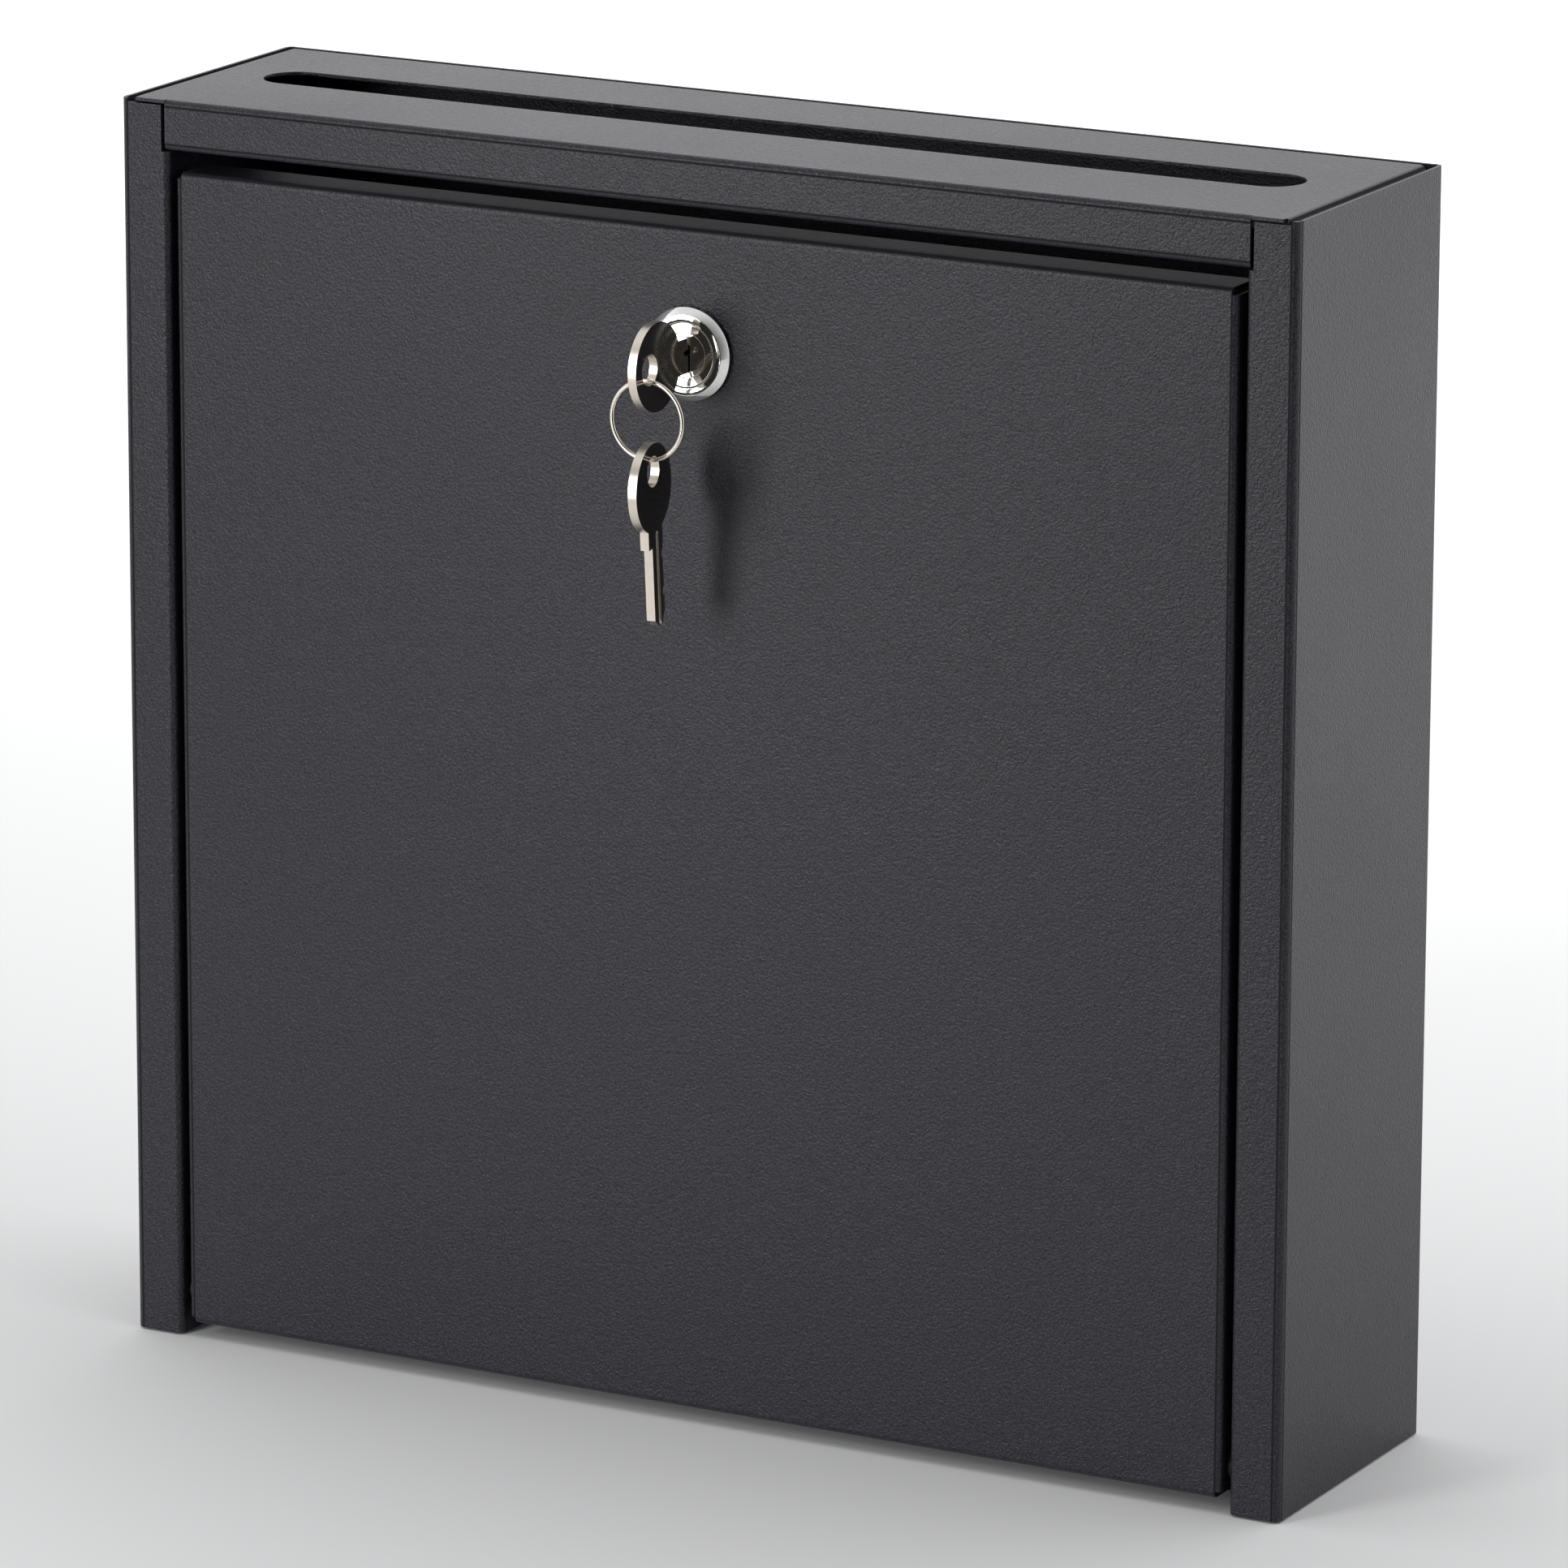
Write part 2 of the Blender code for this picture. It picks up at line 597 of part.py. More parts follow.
def lock_plug(look, joint):
    """The turning barrel: a keyway, a slot for each wafer, and a square tang that drives the cam."""
    tang_back = PLUG_BACK + TANG_LENGTH
    bm = bmesh.new()
    bmesh.ops.create_cone(
        bm,
        cap_ends=True,
        segments=40,
        radius1=PLUG_RADIUS,
        radius2=PLUG_RADIUS,
        depth=PLUG_BACK - PLUG_FACE,
    )
    centre = Vector((LOCK_ASIDE, (PLUG_FACE + PLUG_BACK) / 2, LOCK_Z))
    matrix = Matrix.Translation(centre) @ OUTWARD
    obj = add_object("lock_plug", mesh_from(bm, "lock_plug"), PARTS, look, joint, matrix)
    half_tang = TANG_SIDE / 2
    boolean(obj, lock_block("add_tang", half_tang, PLUG_BACK - CLEARANCE, tang_back, half_tang), "UNION")
    half_thick = KEY_THICK / 2 + KEY_PLAY
    mouth = PLUG_FACE - SHEET
    floor = KEY_TIP + CLEARANCE
    up = BLADE_HIGH + KEY_PLAY
    down = BLADE_LOW + KEY_PLAY
    boolean(obj, lock_block("cut_keyway", half_thick, mouth, floor, up, down))
    half_slot = WAFER_THICK / 2 + CLEARANCE
    for index in range(WAFERS):
        middle = wafer_place(index)
        name = f"cut_wafer_{index + 1}"
        half_width = WAFER_WIDTH / 2 + CLEARANCE
        boolean(obj, lock_block(name, half_width, middle - half_slot, middle + half_slot, 2 * PLUG_RADIUS))
    hole = (LOCK_ASIDE, tang_back, LOCK_Z)
    boolean(obj, rod_cutter("cut_screw", hole, SCREW_RADIUS + CLEARANCE, 2 * TANG_LENGTH, ALONG_Y, 16))
    return obj


def wafer(index, look, joint):
    """A sliding plate with a window round the key's blade."""
    name = f"wafer_{index + 1}"
    play = KEY_PLAY + CLEARANCE / 2
    plate = rectangle(WAFER_WIDTH / 2, -WAFER_HEIGHT / 2, WAFER_HEIGHT / 2)
    window = rectangle(KEY_THICK / 2 + play, -BLADE_LOW - play, BLADE_HIGH + play)
    centre = (LOCK_ASIDE, wafer_place(index), LOCK_Z)
    mesh = plate_mesh(name, [plate, window], WAFER_THICK)
    return add_object(name, mesh, PARTS, look, joint, Matrix.Translation(centre) @ OUTWARD)


def cam(look, joint):
    """A cranked arm. It points sideways when unlocked and turns up behind the header's lip."""
    heel = CAM_WIDTH / 2
    strip = CAM_WIDTH + 4 * SHEET
    corner = Vector((LOCK_ASIDE - CAM_CRANK_START, CAM_FRONT, LOCK_Z - strip / 2))
    bm = flat_sheet(corner, (CAM_CRANK_START + heel + SHEET) * X, strip * Z)
    crank = -CAM_CRANK_RUN * X + (CAM_TIP_FRONT - CAM_FRONT) * Y
    reach = -(CAM_REACH + SHEET - CAM_CRANK_START - CAM_CRANK_RUN) * X
    fold(bm, edges_at(bm, 0, corner.x), [crank, reach])
    obj = solid_sheet("cam", bm, -Y, look, joint, CAM_THICK)
    middle = (LOCK_ASIDE + (heel - CAM_REACH) / 2, CAM_FRONT, LOCK_Z)
    outline = bar_cutter("cam_outline", middle, CAM_REACH + heel, CAM_WIDTH, CAM_OUTLINE_DEPTH, ALONG_Y, 10)
    boolean(obj, outline, "INTERSECT")
    half_hole = TANG_SIDE / 2 + CLEARANCE
    boolean(obj, lock_block("cut_tang", half_hole, CAM_FRONT - SHEET, CAM_BACK + SHEET, half_hole))
    return obj


def cam_washer(look, joint):
    hole = SCREW_RADIUS + CLEARANCE
    front = CAM_BACK + CLEARANCE - FRONT
    back = front + CAM_WASHER_THICK
    profile = [
        (hole, -front),
        (CAM_WASHER_RADIUS, -front),
        (CAM_WASHER_RADIUS, -back),
        (hole, -back),
    ]
    return turned("cam_washer", profile, (LOCK_ASIDE, FRONT, LOCK_Z), OUTWARD, PARTS, look, joint, 24)


def cam_screw(look, joint):
    """A domed screw that holds the cam on the plug's tang."""
    tip = PLUG_BACK + CLEARANCE - FRONT
    seat = CAM_BACK + 2 * CLEARANCE + CAM_WASHER_THICK - FRONT
    profile = [
        (0, -tip),
        (SCREW_RADIUS, -tip),
        (SCREW_RADIUS, -seat),
        (SCREW_HEAD_RADIUS, -seat),
        (SCREW_HEAD_RADIUS, -seat - SCREW_HEAD / 2),
        (SCREW_HEAD_RADIUS * 0.7, -seat - SCREW_HEAD),
        (0, -seat - SCREW_HEAD),
    ]
    return turned("cam_screw", profile, (LOCK_ASIDE, FRONT, LOCK_Z), OUTWARD, PARTS, look, joint, 20)


def key_outline():
    """Bow, shoulder and bitted blade. The bow's centre is the origin and the tip is at +X."""
    neck_high = math.degrees(math.asin(SHOULDER_HIGH / BOW_RADIUS))
    neck_low = math.degrees(math.asin(SHOULDER_LOW / BOW_RADIUS))
    shoulder = BOW_RADIUS + SHOULDER_LENGTH
    tip = shoulder + BLADE_LENGTH
    point = BLADE_HIGH + BLADE_LOW
    outline = arc((0, 0), BOW_RADIUS, neck_high, 360 - neck_low, 36)
    outline.append((shoulder, -SHOULDER_LOW))
    outline.append((shoulder, -BLADE_LOW))
    pitch = (BLADE_LENGTH - point / 2) / (BIT_COUNT + 0.5)
    for bit in range(BIT_COUNT):
        start = shoulder + pitch * (bit + 0.5)
        depth = BIT_DEPTH * (0.5 + 0.5 * math.sin(2.4 * bit + 1))
        outline.append((start, -BLADE_LOW))
        outline.append((start + pitch * 0.35, -BLADE_LOW + depth))
        outline.append((start + pitch * 0.65, -BLADE_LOW + depth))
    outline.append((tip - point / 2, -BLADE_LOW))
    outline.append((tip, BLADE_HIGH - 0.7 * point))
    outline.append((tip, BLADE_HIGH - 0.3 * point))
    outline.append((tip - point / 4, BLADE_HIGH))
    outline.append((shoulder, BLADE_HIGH))
    outline.append((shoulder, SHOULDER_HIGH))
    return outline


def key_mesh():
    """A flat key with a hole for the ring and a groove along each face of its blade."""
    hole = arc((-KEY_HOLE_OFFSET, 0), KEY_HOLE_RADIUS, 0, 345, 23)
    blank = cutter("key_blank", plate_mesh("key_blank", [key_outline(), hole], KEY_THICK))
    length = 2 * BLADE_LENGTH
    middle = BOW_RADIUS + BLADE_LENGTH
    deep = KEY_THICK / 2
    for side in (-1, 1):
        place = (middle, side * GROOVE_WIDTH / 2, side * KEY_THICK / 2)
        name = "cut_groove_low" if side < 0 else "cut_groove_high"
        boolean(blank, bar_cutter(name, place, length, GROOVE_WIDTH, deep, Matrix(), 4))
    bpy.context.view_layer.update()
    return evaluated_mesh(blank)


def key_main(mesh, look, joint):
    """The key in the lock: its blade along Y and its bow upright."""
    turn = Matrix(((0, 0, 1, 0), (1, 0, 0, 0), (0, 1, 0, 0), (0, 0, 0, 1)))
    centre = (LOCK_ASIDE, BOW_Y, LOCK_Z)
    return add_object("key_main", mesh, PARTS, look, joint, Matrix.Translation(centre) @ turn)


def key_spare(mesh, look, joint):
    """The key on the ring: it hangs tip down, turned a little from square and leaning inward."""
    turn = Matrix(((0, 0, -1, 0), (0, -1, 0, 0), (-1, 0, 0, 0), (0, 0, 0, 1)))
    drop = RING_WIRE + CLEARANCE - KEY_HOLE_RADIUS - KEY_HOLE_OFFSET
    swing = Matrix.Translation((SPARE_X, HOLE_Y, SPARE_PIVOT_Z)) @ Matrix.Rotation(SPARE_LEAN, 4, "X")
    matrix = swing @ Matrix.Translation((0, 0, drop)) @ Matrix.Rotation(SPARE_TURN, 4, "Z") @ turn
    return add_object("key_spare", mesh.copy(), PARTS, look, joint, matrix)


def key_ring(look, joint):
    bpy.ops.mesh.primitive_torus_add(
        major_radius=RING_RADIUS, minor_radius=RING_WIRE, major_segments=40, minor_segments=8
    )
    made = bpy.context.object
    mesh = made.data
    bpy.data.objects.remove(made, do_unlink=True)
    mesh.materials.clear()
    centre = (RING_X, HOLE_Y, RING_Z)
    return add_object("key_ring", mesh, PARTS, look, joint, Matrix.Translation(centre) @ OUTWARD)


def joints():
    """One empty for each moving body, each hanging from the body that carries it."""
    hinge = joint_empty("door_hinge", (0, PIVOT_Y, PIVOT_Z), PARTS)
    turn = joint_empty("lock_turn", (LOCK_ASIDE, FRONT, LOCK_Z), PARTS, hinge)
    slide = joint_empty("key_slide", (LOCK_ASIDE, KEY_STOP, LOCK_Z), PARTS, turn)
    ring = joint_empty("ring_turn", (LOCK_ASIDE, HOLE_Y, RING_PIVOT_Z), PARTS, slide)
    spare = joint_empty("spare_swing", (RING_X, HOLE_Y, SPARE_PIVOT_Z), PARTS, ring)
    return hinge, turn, slide, ring, spare


def main():
    powder_coat = material("powder_coat", (0.018, 0.018, 0.02), 0.0, 0.5)
    chrome = material("chrome", (0.8, 0.8, 0.82), 1.0, 0.08)
    nickel = material("nickel", (0.66, 0.6, 0.52), 1.0, 0.22)
    zinc = material("zinc_plate", (0.55, 0.56, 0.57), 1.0, 0.35)
    brass = material("brass", (0.72, 0.52, 0.24), 1.0, 0.3)
    nylon = material("black_nylon", (0.02, 0.02, 0.02), 0.0, 0.45)
    hinge, turn, slide, ring, spare = joints()
    body_wrap(powder_coat)
    top_panel(powder_coat)
    bottom_panel(powder_coat)
    for side, name in ((-1, "left"), (1, "right")):
        shade_round(pivot_rivet("pivot_rivet_" + name, side, zinc))
        shade_round(pivot_washer("pivot_washer_" + name, side, nylon))
    door_panel(powder_coat, hinge)
    shade_round(lock_housing(chrome, hinge))
    lock_nut(zinc, hinge)
    lock_plug(chrome, turn)
    for index in range(WAFERS):
        wafer(index, brass, turn)
    cam(zinc, turn)
    shade_round(cam_washer(zinc, turn))
    shade_round(cam_screw(zinc, turn))
    keys = key_mesh()
    key_main(keys, nickel, slide)
    key_spare(keys, nickel, spare)
    shade_round(key_ring(nickel, ring))


clear_scene()
PARTS = collection("parcel_drop_box")
CUTTERS = collection("cutters")
main()
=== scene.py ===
import json
import math

import bmesh
import bpy
from mathutils import Matrix, Vector

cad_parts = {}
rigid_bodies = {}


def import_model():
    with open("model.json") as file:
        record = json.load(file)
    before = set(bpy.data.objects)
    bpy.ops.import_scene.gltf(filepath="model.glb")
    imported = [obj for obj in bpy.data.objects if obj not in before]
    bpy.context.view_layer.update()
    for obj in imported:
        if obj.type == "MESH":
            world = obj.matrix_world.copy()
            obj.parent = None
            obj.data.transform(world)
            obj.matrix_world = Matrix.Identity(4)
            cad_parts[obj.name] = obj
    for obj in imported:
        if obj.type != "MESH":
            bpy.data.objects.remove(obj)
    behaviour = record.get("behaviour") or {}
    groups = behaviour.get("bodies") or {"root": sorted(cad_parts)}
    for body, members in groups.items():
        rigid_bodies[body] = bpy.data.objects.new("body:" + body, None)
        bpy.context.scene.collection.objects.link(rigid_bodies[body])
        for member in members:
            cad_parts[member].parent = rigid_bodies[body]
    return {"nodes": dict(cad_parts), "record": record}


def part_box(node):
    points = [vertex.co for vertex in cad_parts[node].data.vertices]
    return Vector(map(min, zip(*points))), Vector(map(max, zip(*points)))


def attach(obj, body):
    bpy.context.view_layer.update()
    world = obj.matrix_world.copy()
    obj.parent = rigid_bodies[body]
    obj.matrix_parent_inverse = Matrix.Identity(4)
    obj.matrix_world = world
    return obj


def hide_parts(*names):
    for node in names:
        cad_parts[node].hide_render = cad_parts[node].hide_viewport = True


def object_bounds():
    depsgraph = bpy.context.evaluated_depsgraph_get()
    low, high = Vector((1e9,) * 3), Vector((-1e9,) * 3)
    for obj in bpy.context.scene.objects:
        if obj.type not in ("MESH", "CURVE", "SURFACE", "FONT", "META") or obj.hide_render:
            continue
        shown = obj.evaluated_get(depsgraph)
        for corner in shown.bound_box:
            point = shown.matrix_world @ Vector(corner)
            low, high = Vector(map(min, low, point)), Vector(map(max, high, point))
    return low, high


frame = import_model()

cad_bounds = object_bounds()

X = Vector((1, 0, 0))
Y = Vector((0, 1, 0))
Z = Vector((0, 0, 1))
ALONG_Y = Matrix.Rotation(math.radians(-90), 4, "X")
ALONG_X = Matrix.Rotation(math.radians(90), 4, "Y")
OUTWARD = Matrix.Rotation(math.radians(90), 4, "X")

# ---------------------------------------------------------------- places read from the frame
BODY_LOW, BODY_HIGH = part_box("body_wrap")
TOP_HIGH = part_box("top_panel")[1]
TRAY_LOW, TRAY_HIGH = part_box("bottom_panel")
DOOR_LOW, DOOR_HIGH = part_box("door_panel")
HOUSING_LOW, HOUSING_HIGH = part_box("lock_housing")
PLUG_LOW, PLUG_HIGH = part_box("lock_plug")
KEY_LOW, KEY_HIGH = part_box("key_main")
RING_LOW, RING_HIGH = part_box("key_ring")
JOINTS = {joint["name"]: joint for joint in frame["record"]["behaviour"]["joints"]}

HALF_WIDTH = BODY_HIGH.x
FRONT = BODY_LOW.y
BACK = BODY_HIGH.y
WALL_TOP = BODY_HIGH.z
HEIGHT = TOP_HIGH.z

# ---------------------------------------------------------------- sheet-steel sizes, in metres
SHEET = 0.0009
BODY_BEND = 0.0018
PAN_BEND = 0.0015
BEND_STEPS = 10
CLEARANCE = 0.0003
EDGE_ROUND = 0.00018
EDGE_ANGLE = math.radians(32)
FLAT_FACE_WEIGHT = 80
NEAR_HALF = 0.499
NEAR = 1e-7
WELD = 0.000001
PIN_SIDES = 48
ROUND_STEPS = 8
SLOT_STEPS = 32
LOCK_HOLE_SIDES = 72
LATHE_STEPS = 96
# width of the painted shade lines beside bends and edges
SHADE_LINE_WIDTH = 0.0004
MIDDLE = HALF_WIDTH / 5
DOOR_SIDE_GAP = 0.0019
OPENING_HALF = DOOR_HIGH.x + DOOR_SIDE_GAP
RETURN_DEPTH = 0.0132
RETURN_BACK = FRONT + RETURN_DEPTH
HEADER_HEIGHT = 0.0119
HEADER_BOTTOM = HEIGHT - HEADER_HEIGHT
HEADER_SIDE_GAP = 0.0009
STOP_FLANGE = 0.0057
STOP_START = 0.021
STOP_TOP_DROP = 0.003
STRIKE_RISE = 0.0066
TOP_FLANGE = 0.009
SLOT_LENGTH = 0.2708
SLOT_ASIDE = -0.0008
SLOT_WIDTH = 0.0157
SLOT_SETBACK = 0.0397
SILL_SIDE_GAP = 0.004
BOTTOM_RETURN = 0.009
PIVOT = Vector(JOINTS["door_hinge"]["pos_m"])
PIN_HOLE = 0.0021
KEYHOLE_SPREAD = 0.200
KEYHOLE_DROP = 0.055
KEYHOLE_RADIUS = 0.0045
KEYHOLE_NECK = 0.0024
KEYHOLE_RISE = 0.0105
SCREW_HOLE_HEIGHT = 0.045


# ---------------------------------------------------------------- colours
COAT_DARK = (0.005, 0.005, 0.009)
COAT_LIGHT = (0.030, 0.029, 0.040)
# painted shade: the colour of the dark lines painted beside bends and edges
COAT_PAINTED_SHADE = (0.003, 0.003, 0.005)
CHROME_COLOUR = (0.84, 0.84, 0.82)
NICKEL_COLOUR = (0.76, 0.71, 0.62)
KEY_COLOUR = (0.80, 0.73, 0.63)
ZINC_COLOUR = (0.62, 0.63, 0.64)
BRASS_COLOUR = (0.75, 0.55, 0.26)
NYLON_DARK = (0.018, 0.018, 0.018)
NYLON_LIGHT = (0.03, 0.03, 0.03)
FLOOR_DARK = (0.86, 0.86, 0.86)
FLOOR_LIGHT = (0.88, 0.88, 0.88)
SKY = (0.985, 0.99, 1.0)
PLATE_TINT = 0.04
# painted shade: how much darker the key's flat faces are painted
KEY_FACE_PAINTED_SHADE = 0.62
STAMPED_SHADE = 0.8

# ---------------------------------------------------------------- grain, in cycles to a metre
COAT_GRAIN = 1700.0
COAT_SPECK = 2600.0
COAT_CLOUD = 9.0
PLATE_CLOUD = 160.0
STAMPED_CLOUD = 240.0
NYLON_GRAIN = 2600.0
NYLON_CLOUD = 300.0
FLOOR_CLOUD = 3.0
WIPES = (900.0, 250.0, 3200.0)
KEY_WIPES = (900.0, 900.0, 900.0)
KEY_LINES = (700.0, 5200.0, 5200.0)
STAMPED_LINES = (5200.0, 700.0, 700.0)

# ---------------------------------------------------------------- heights of that grain, in metres
COAT_RELIEF = 0.00022
PLATE_RELIEF = 0.00001
RING_RELIEF = 0.000005
KEY_RELIEF = 0.00001
STAMPED_RELIEF = 0.00002
NYLON_RELIEF = 0.00003


# ---------------------------------------------------------------- material helpers
class Nodes:
    """A short way to write a material's node tree. Its place is the object's own coordinates."""

    def __init__(self, name):
        self.material = bpy.data.materials.new(name)
        self.material.use_nodes = True
        self.tree = self.material.node_tree
        self.shader = self.tree.nodes["Principled BSDF"]
        self.place = self.add("ShaderNodeTexCoord").outputs["Object"]

    def add(self, kind, **settings):
        node = self.tree.nodes.new(kind)
        for key, value in settings.items():
            setattr(node, key, value)
        return node

    def link(self, source, target):
        self.tree.links.new(source, target)

    def scaled(self, scale):
        mapping = self.add("ShaderNodeMapping")
        mapping.inputs["Scale"].default_value = scale
        self.link(self.place, mapping.inputs["Vector"])
        return mapping.outputs["Vector"]

    def noise(self, scale, detail=2.0, roughness=0.5, source=None):
        node = self.add("ShaderNodeTexNoise")
        node.inputs["Scale"].default_value = scale
        node.inputs["Detail"].default_value = detail
        node.inputs["Roughness"].default_value = roughness
        self.link(source or self.place, node.inputs["Vector"])
        return node.outputs["Fac"]

    def span(self, value, low, high, start=0.0, end=1.0):
        node = self.add("ShaderNodeMapRange")
        node.inputs["From Min"].default_value = start
        node.inputs["From Max"].default_value = end
        node.inputs["To Min"].default_value = low
        node.inputs["To Max"].default_value = high
        self.link(value, node.inputs["Value"])
        return node.outputs["Result"]

    def blend(self, fac, low, high):
        node = self.add("ShaderNodeMix", data_type="RGBA")
        self.link(fac, node.inputs["Factor"])
        node.inputs["A"].default_value = (*low, 1)
        node.inputs["B"].default_value = (*high, 1)
        return node.outputs["Result"]

    def math(self, operation, first, second):
        node = self.add("ShaderNodeMath", operation=operation)
        for socket, value in zip(node.inputs, (first, second)):
            if isinstance(value, (int, float)):
                socket.default_value = value
            else:
                self.link(value, socket)
        return node.outputs["Value"]

    def bump(self, height, distance, strength):
        node = self.add("ShaderNodeBump")
        node.inputs["Strength"].default_value = strength
        node.inputs["Distance"].default_value = distance
        self.link(height, node.inputs["Height"])
        return node.outputs["Normal"]

    def set(self, socket, value):
        target = self.shader.inputs[socket]
        if isinstance(value, (int, float, tuple)):
            target.default_value = value
        else:
            self.link(value, target)


def powder_coat(name, marks=()):
    """Fine-textured black powder coat, with thin dark lines painted beside its bends and edges: painted
    shade for the dark reflections and shadow along them.
    """
    made = Nodes(name)
    split = made.add("ShaderNodeSeparateXYZ")
    made.link(made.place, split.inputs["Vector"])
    lines = None
    for axis, value in marks:
        place = split.outputs[axis]
        if axis == "X":
            place = made.math("ABSOLUTE", place, 0.0)
        away = made.math("ABSOLUTE", made.math("SUBTRACT", place, value), 0.0)
        line = made.span(away, 1.0, 0.0, SHADE_LINE_WIDTH / 3, SHADE_LINE_WIDTH)
        lines = line if lines is None else made.math("MAXIMUM", lines, line)
    grain = made.noise(COAT_GRAIN, 2.0, 0.6)
    speck = made.noise(COAT_SPECK, 1.0, 0.5)
    cloud = made.noise(COAT_CLOUD, 3.0, 0.6)
    fleck = made.span(speck, 0.0, 1.0, 0.35, 0.68)
    colour = made.blend(fleck, COAT_DARK, COAT_LIGHT)
    fine = made.span(grain, -0.04, 0.04, 0.3, 0.7)
    rough = made.math("ADD", fine, made.span(cloud, 0.33, 0.38, 0.3, 0.7))
    if lines is not None:
        # painted shade: the coat is darkened along the lines beside bends and edges
        painted_shade = made.add("ShaderNodeMix", data_type="RGBA")
        made.link(lines, painted_shade.inputs["Factor"])
        made.link(colour, painted_shade.inputs["A"])
        painted_shade.inputs["B"].default_value = (*COAT_PAINTED_SHADE, 1)
        colour = painted_shade.outputs["Result"]
        rough = made.math("ADD", rough, made.math("MULTIPLY", lines, 0.5))
    made.set("Base Color", colour)
    made.set("Metallic", 0.0)
    made.set("IOR", 1.42)
    made.set("Roughness", rough)
    made.set("Normal", made.bump(grain, COAT_RELIEF, 0.9))
    return made.material


def polished(name, colour, rough, relief=PLATE_RELIEF, spread=0.03):
    """A plated metal with fine wear: faint wiping marks and a little unevenness in its gloss."""
    made = Nodes(name)
    wipes = made.noise(1.0, 3.0, 0.6, made.scaled(WIPES))
    soft = made.noise(PLATE_CLOUD, 2.0, 0.5)
    low = tuple(part - PLATE_TINT for part in colour)
    made.set("Base Color", made.blend(made.span(soft, 0.0, 1.0, 0.35, 0.65), low, colour))
    made.set("Metallic", 1.0)
    made.set("Roughness", made.span(wipes, rough, rough + spread, 0.35, 0.7))
    made.set("Normal", made.bump(wipes, relief, 0.5))
    return made.material


def tumbled_key(name, colour, face_rough, rim_rough):
    """Plated key metal: its flat faces are mirrors and its tumbled rims are softer. The flat faces are
    also painted darker, as painted shade for the dark reflections they show.
    """
    made = Nodes(name)
    wipes = made.noise(1.0, 3.0, 0.6, made.scaled(KEY_WIPES))
    lines = made.noise(1.0, 3.0, 0.6, made.scaled(KEY_LINES))
    split = made.add("ShaderNodeSeparateXYZ")
    made.link(made.add("ShaderNodeTexCoord").outputs["Normal"], split.inputs["Vector"])
    flat = made.span(made.math("ABSOLUTE", split.outputs["X"], 0.0), 0.0, 1.0, 0.8, 0.95)
    # painted shade: the flat faces, found by their normal, get a darker colour
    made.set("Base Color", made.blend(flat, colour, tuple(part * KEY_FACE_PAINTED_SHADE for part in colour)))
    made.set("Metallic", 1.0)
    rough = made.span(flat, rim_rough, face_rough)
    made.set("Roughness", made.math("ADD", rough, made.span(wipes, 0.0, 0.05, 0.35, 0.7)))
    made.set("Normal", made.bump(lines, KEY_RELIEF, 0.4))
    return made.material


def brushed(name, colour, rough):
    """A stamped or tumbled metal face with short fine lines."""
    made = Nodes(name)
    lines = made.noise(1.0, 4.0, 0.65, made.scaled(STAMPED_LINES))
    soft = made.noise(STAMPED_CLOUD, 3.0, 0.6)
    dull = tuple(part * STAMPED_SHADE for part in colour)
    made.set("Base Color", made.blend(made.span(soft, 0.0, 1.0, 0.3, 0.7), dull, colour))
    made.set("Metallic", 1.0)
    made.set("Roughness", made.span(lines, rough, rough + 0.16, 0.3, 0.7))
    made.set("Normal", made.bump(lines, STAMPED_RELIEF, 0.6))
    return made.material


def moulded_plastic():
    """Black nylon with a fine moulded grain."""
    made = Nodes("nylon_black")
    grain = made.noise(NYLON_GRAIN, 2.0)
    made.set("Base Color", made.blend(made.noise(NYLON_CLOUD), NYLON_DARK, NYLON_LIGHT))
    made.set("Roughness", made.span(grain, 0.4, 0.55))
    made.set("Normal", made.bump(grain, NYLON_RELIEF, 0.4))
    return made.material


# ---------------------------------------------------------------- mesh helpers
SCRATCH = bpy.data.collections.new("scratch")
bpy.context.scene.collection.children.link(SCRATCH)


def mesh_from(bm, name):
    mesh = bpy.data.meshes.new(name)
    bm.to_mesh(mesh)
    bm.free()
    return mesh


def scratch(name, mesh, matrix=None):
    """A helper object, removed before the end."""
    obj = bpy.data.objects.new(name, mesh)
    SCRATCH.objects.link(obj)
    if matrix is not None:
        obj.matrix_world = matrix
    return obj


def block(name, low, high):
    bm = bmesh.new()
    bmesh.ops.create_cube(bm, size=1)
    low = Vector(low)
    high = Vector(high)
    bmesh.ops.scale(bm, vec=high - low, verts=bm.verts)
    bmesh.ops.translate(bm, vec=(low + high) / 2, verts=bm.verts)
    return scratch(name, mesh_from(bm, name))


def rod(name, centre, radius, length, turn, sides=PIN_SIDES):
    bm = bmesh.new()
    bmesh.ops.create_cone(
        bm, cap_ends=True, segments=sides, radius1=radius, radius2=radius, depth=length
    )
    return scratch(name, mesh_from(bm, name), Matrix.Translation(centre) @ turn)


def bar(name, centre, length, width, deep, turn, steps):
    """A round-ended bar: its length along local X, its width along local Y, sunk along local Z."""
    bm = bmesh.new()
    bmesh.ops.create_cube(bm, size=1)
    bmesh.ops.scale(bm, vec=(length, width, deep), verts=bm.verts)
    upright = [e for e in bm.edges if abs((e.verts[0].co - e.verts[1].co).z) > deep / 2]
    bmesh.ops.bevel(
        bm, geom=upright, offset=width * NEAR_HALF, segments=steps, affect="EDGES", profile=0.5
    )
    return scratch(name, mesh_from(bm, name), Matrix.Translation(centre) @ turn)


def cut(obj, other, operation="DIFFERENCE"):
    modifier = obj.modifiers.new(other.name, "BOOLEAN")
    modifier.operation = operation
    modifier.object = other
    modifier.solver = "EXACT"


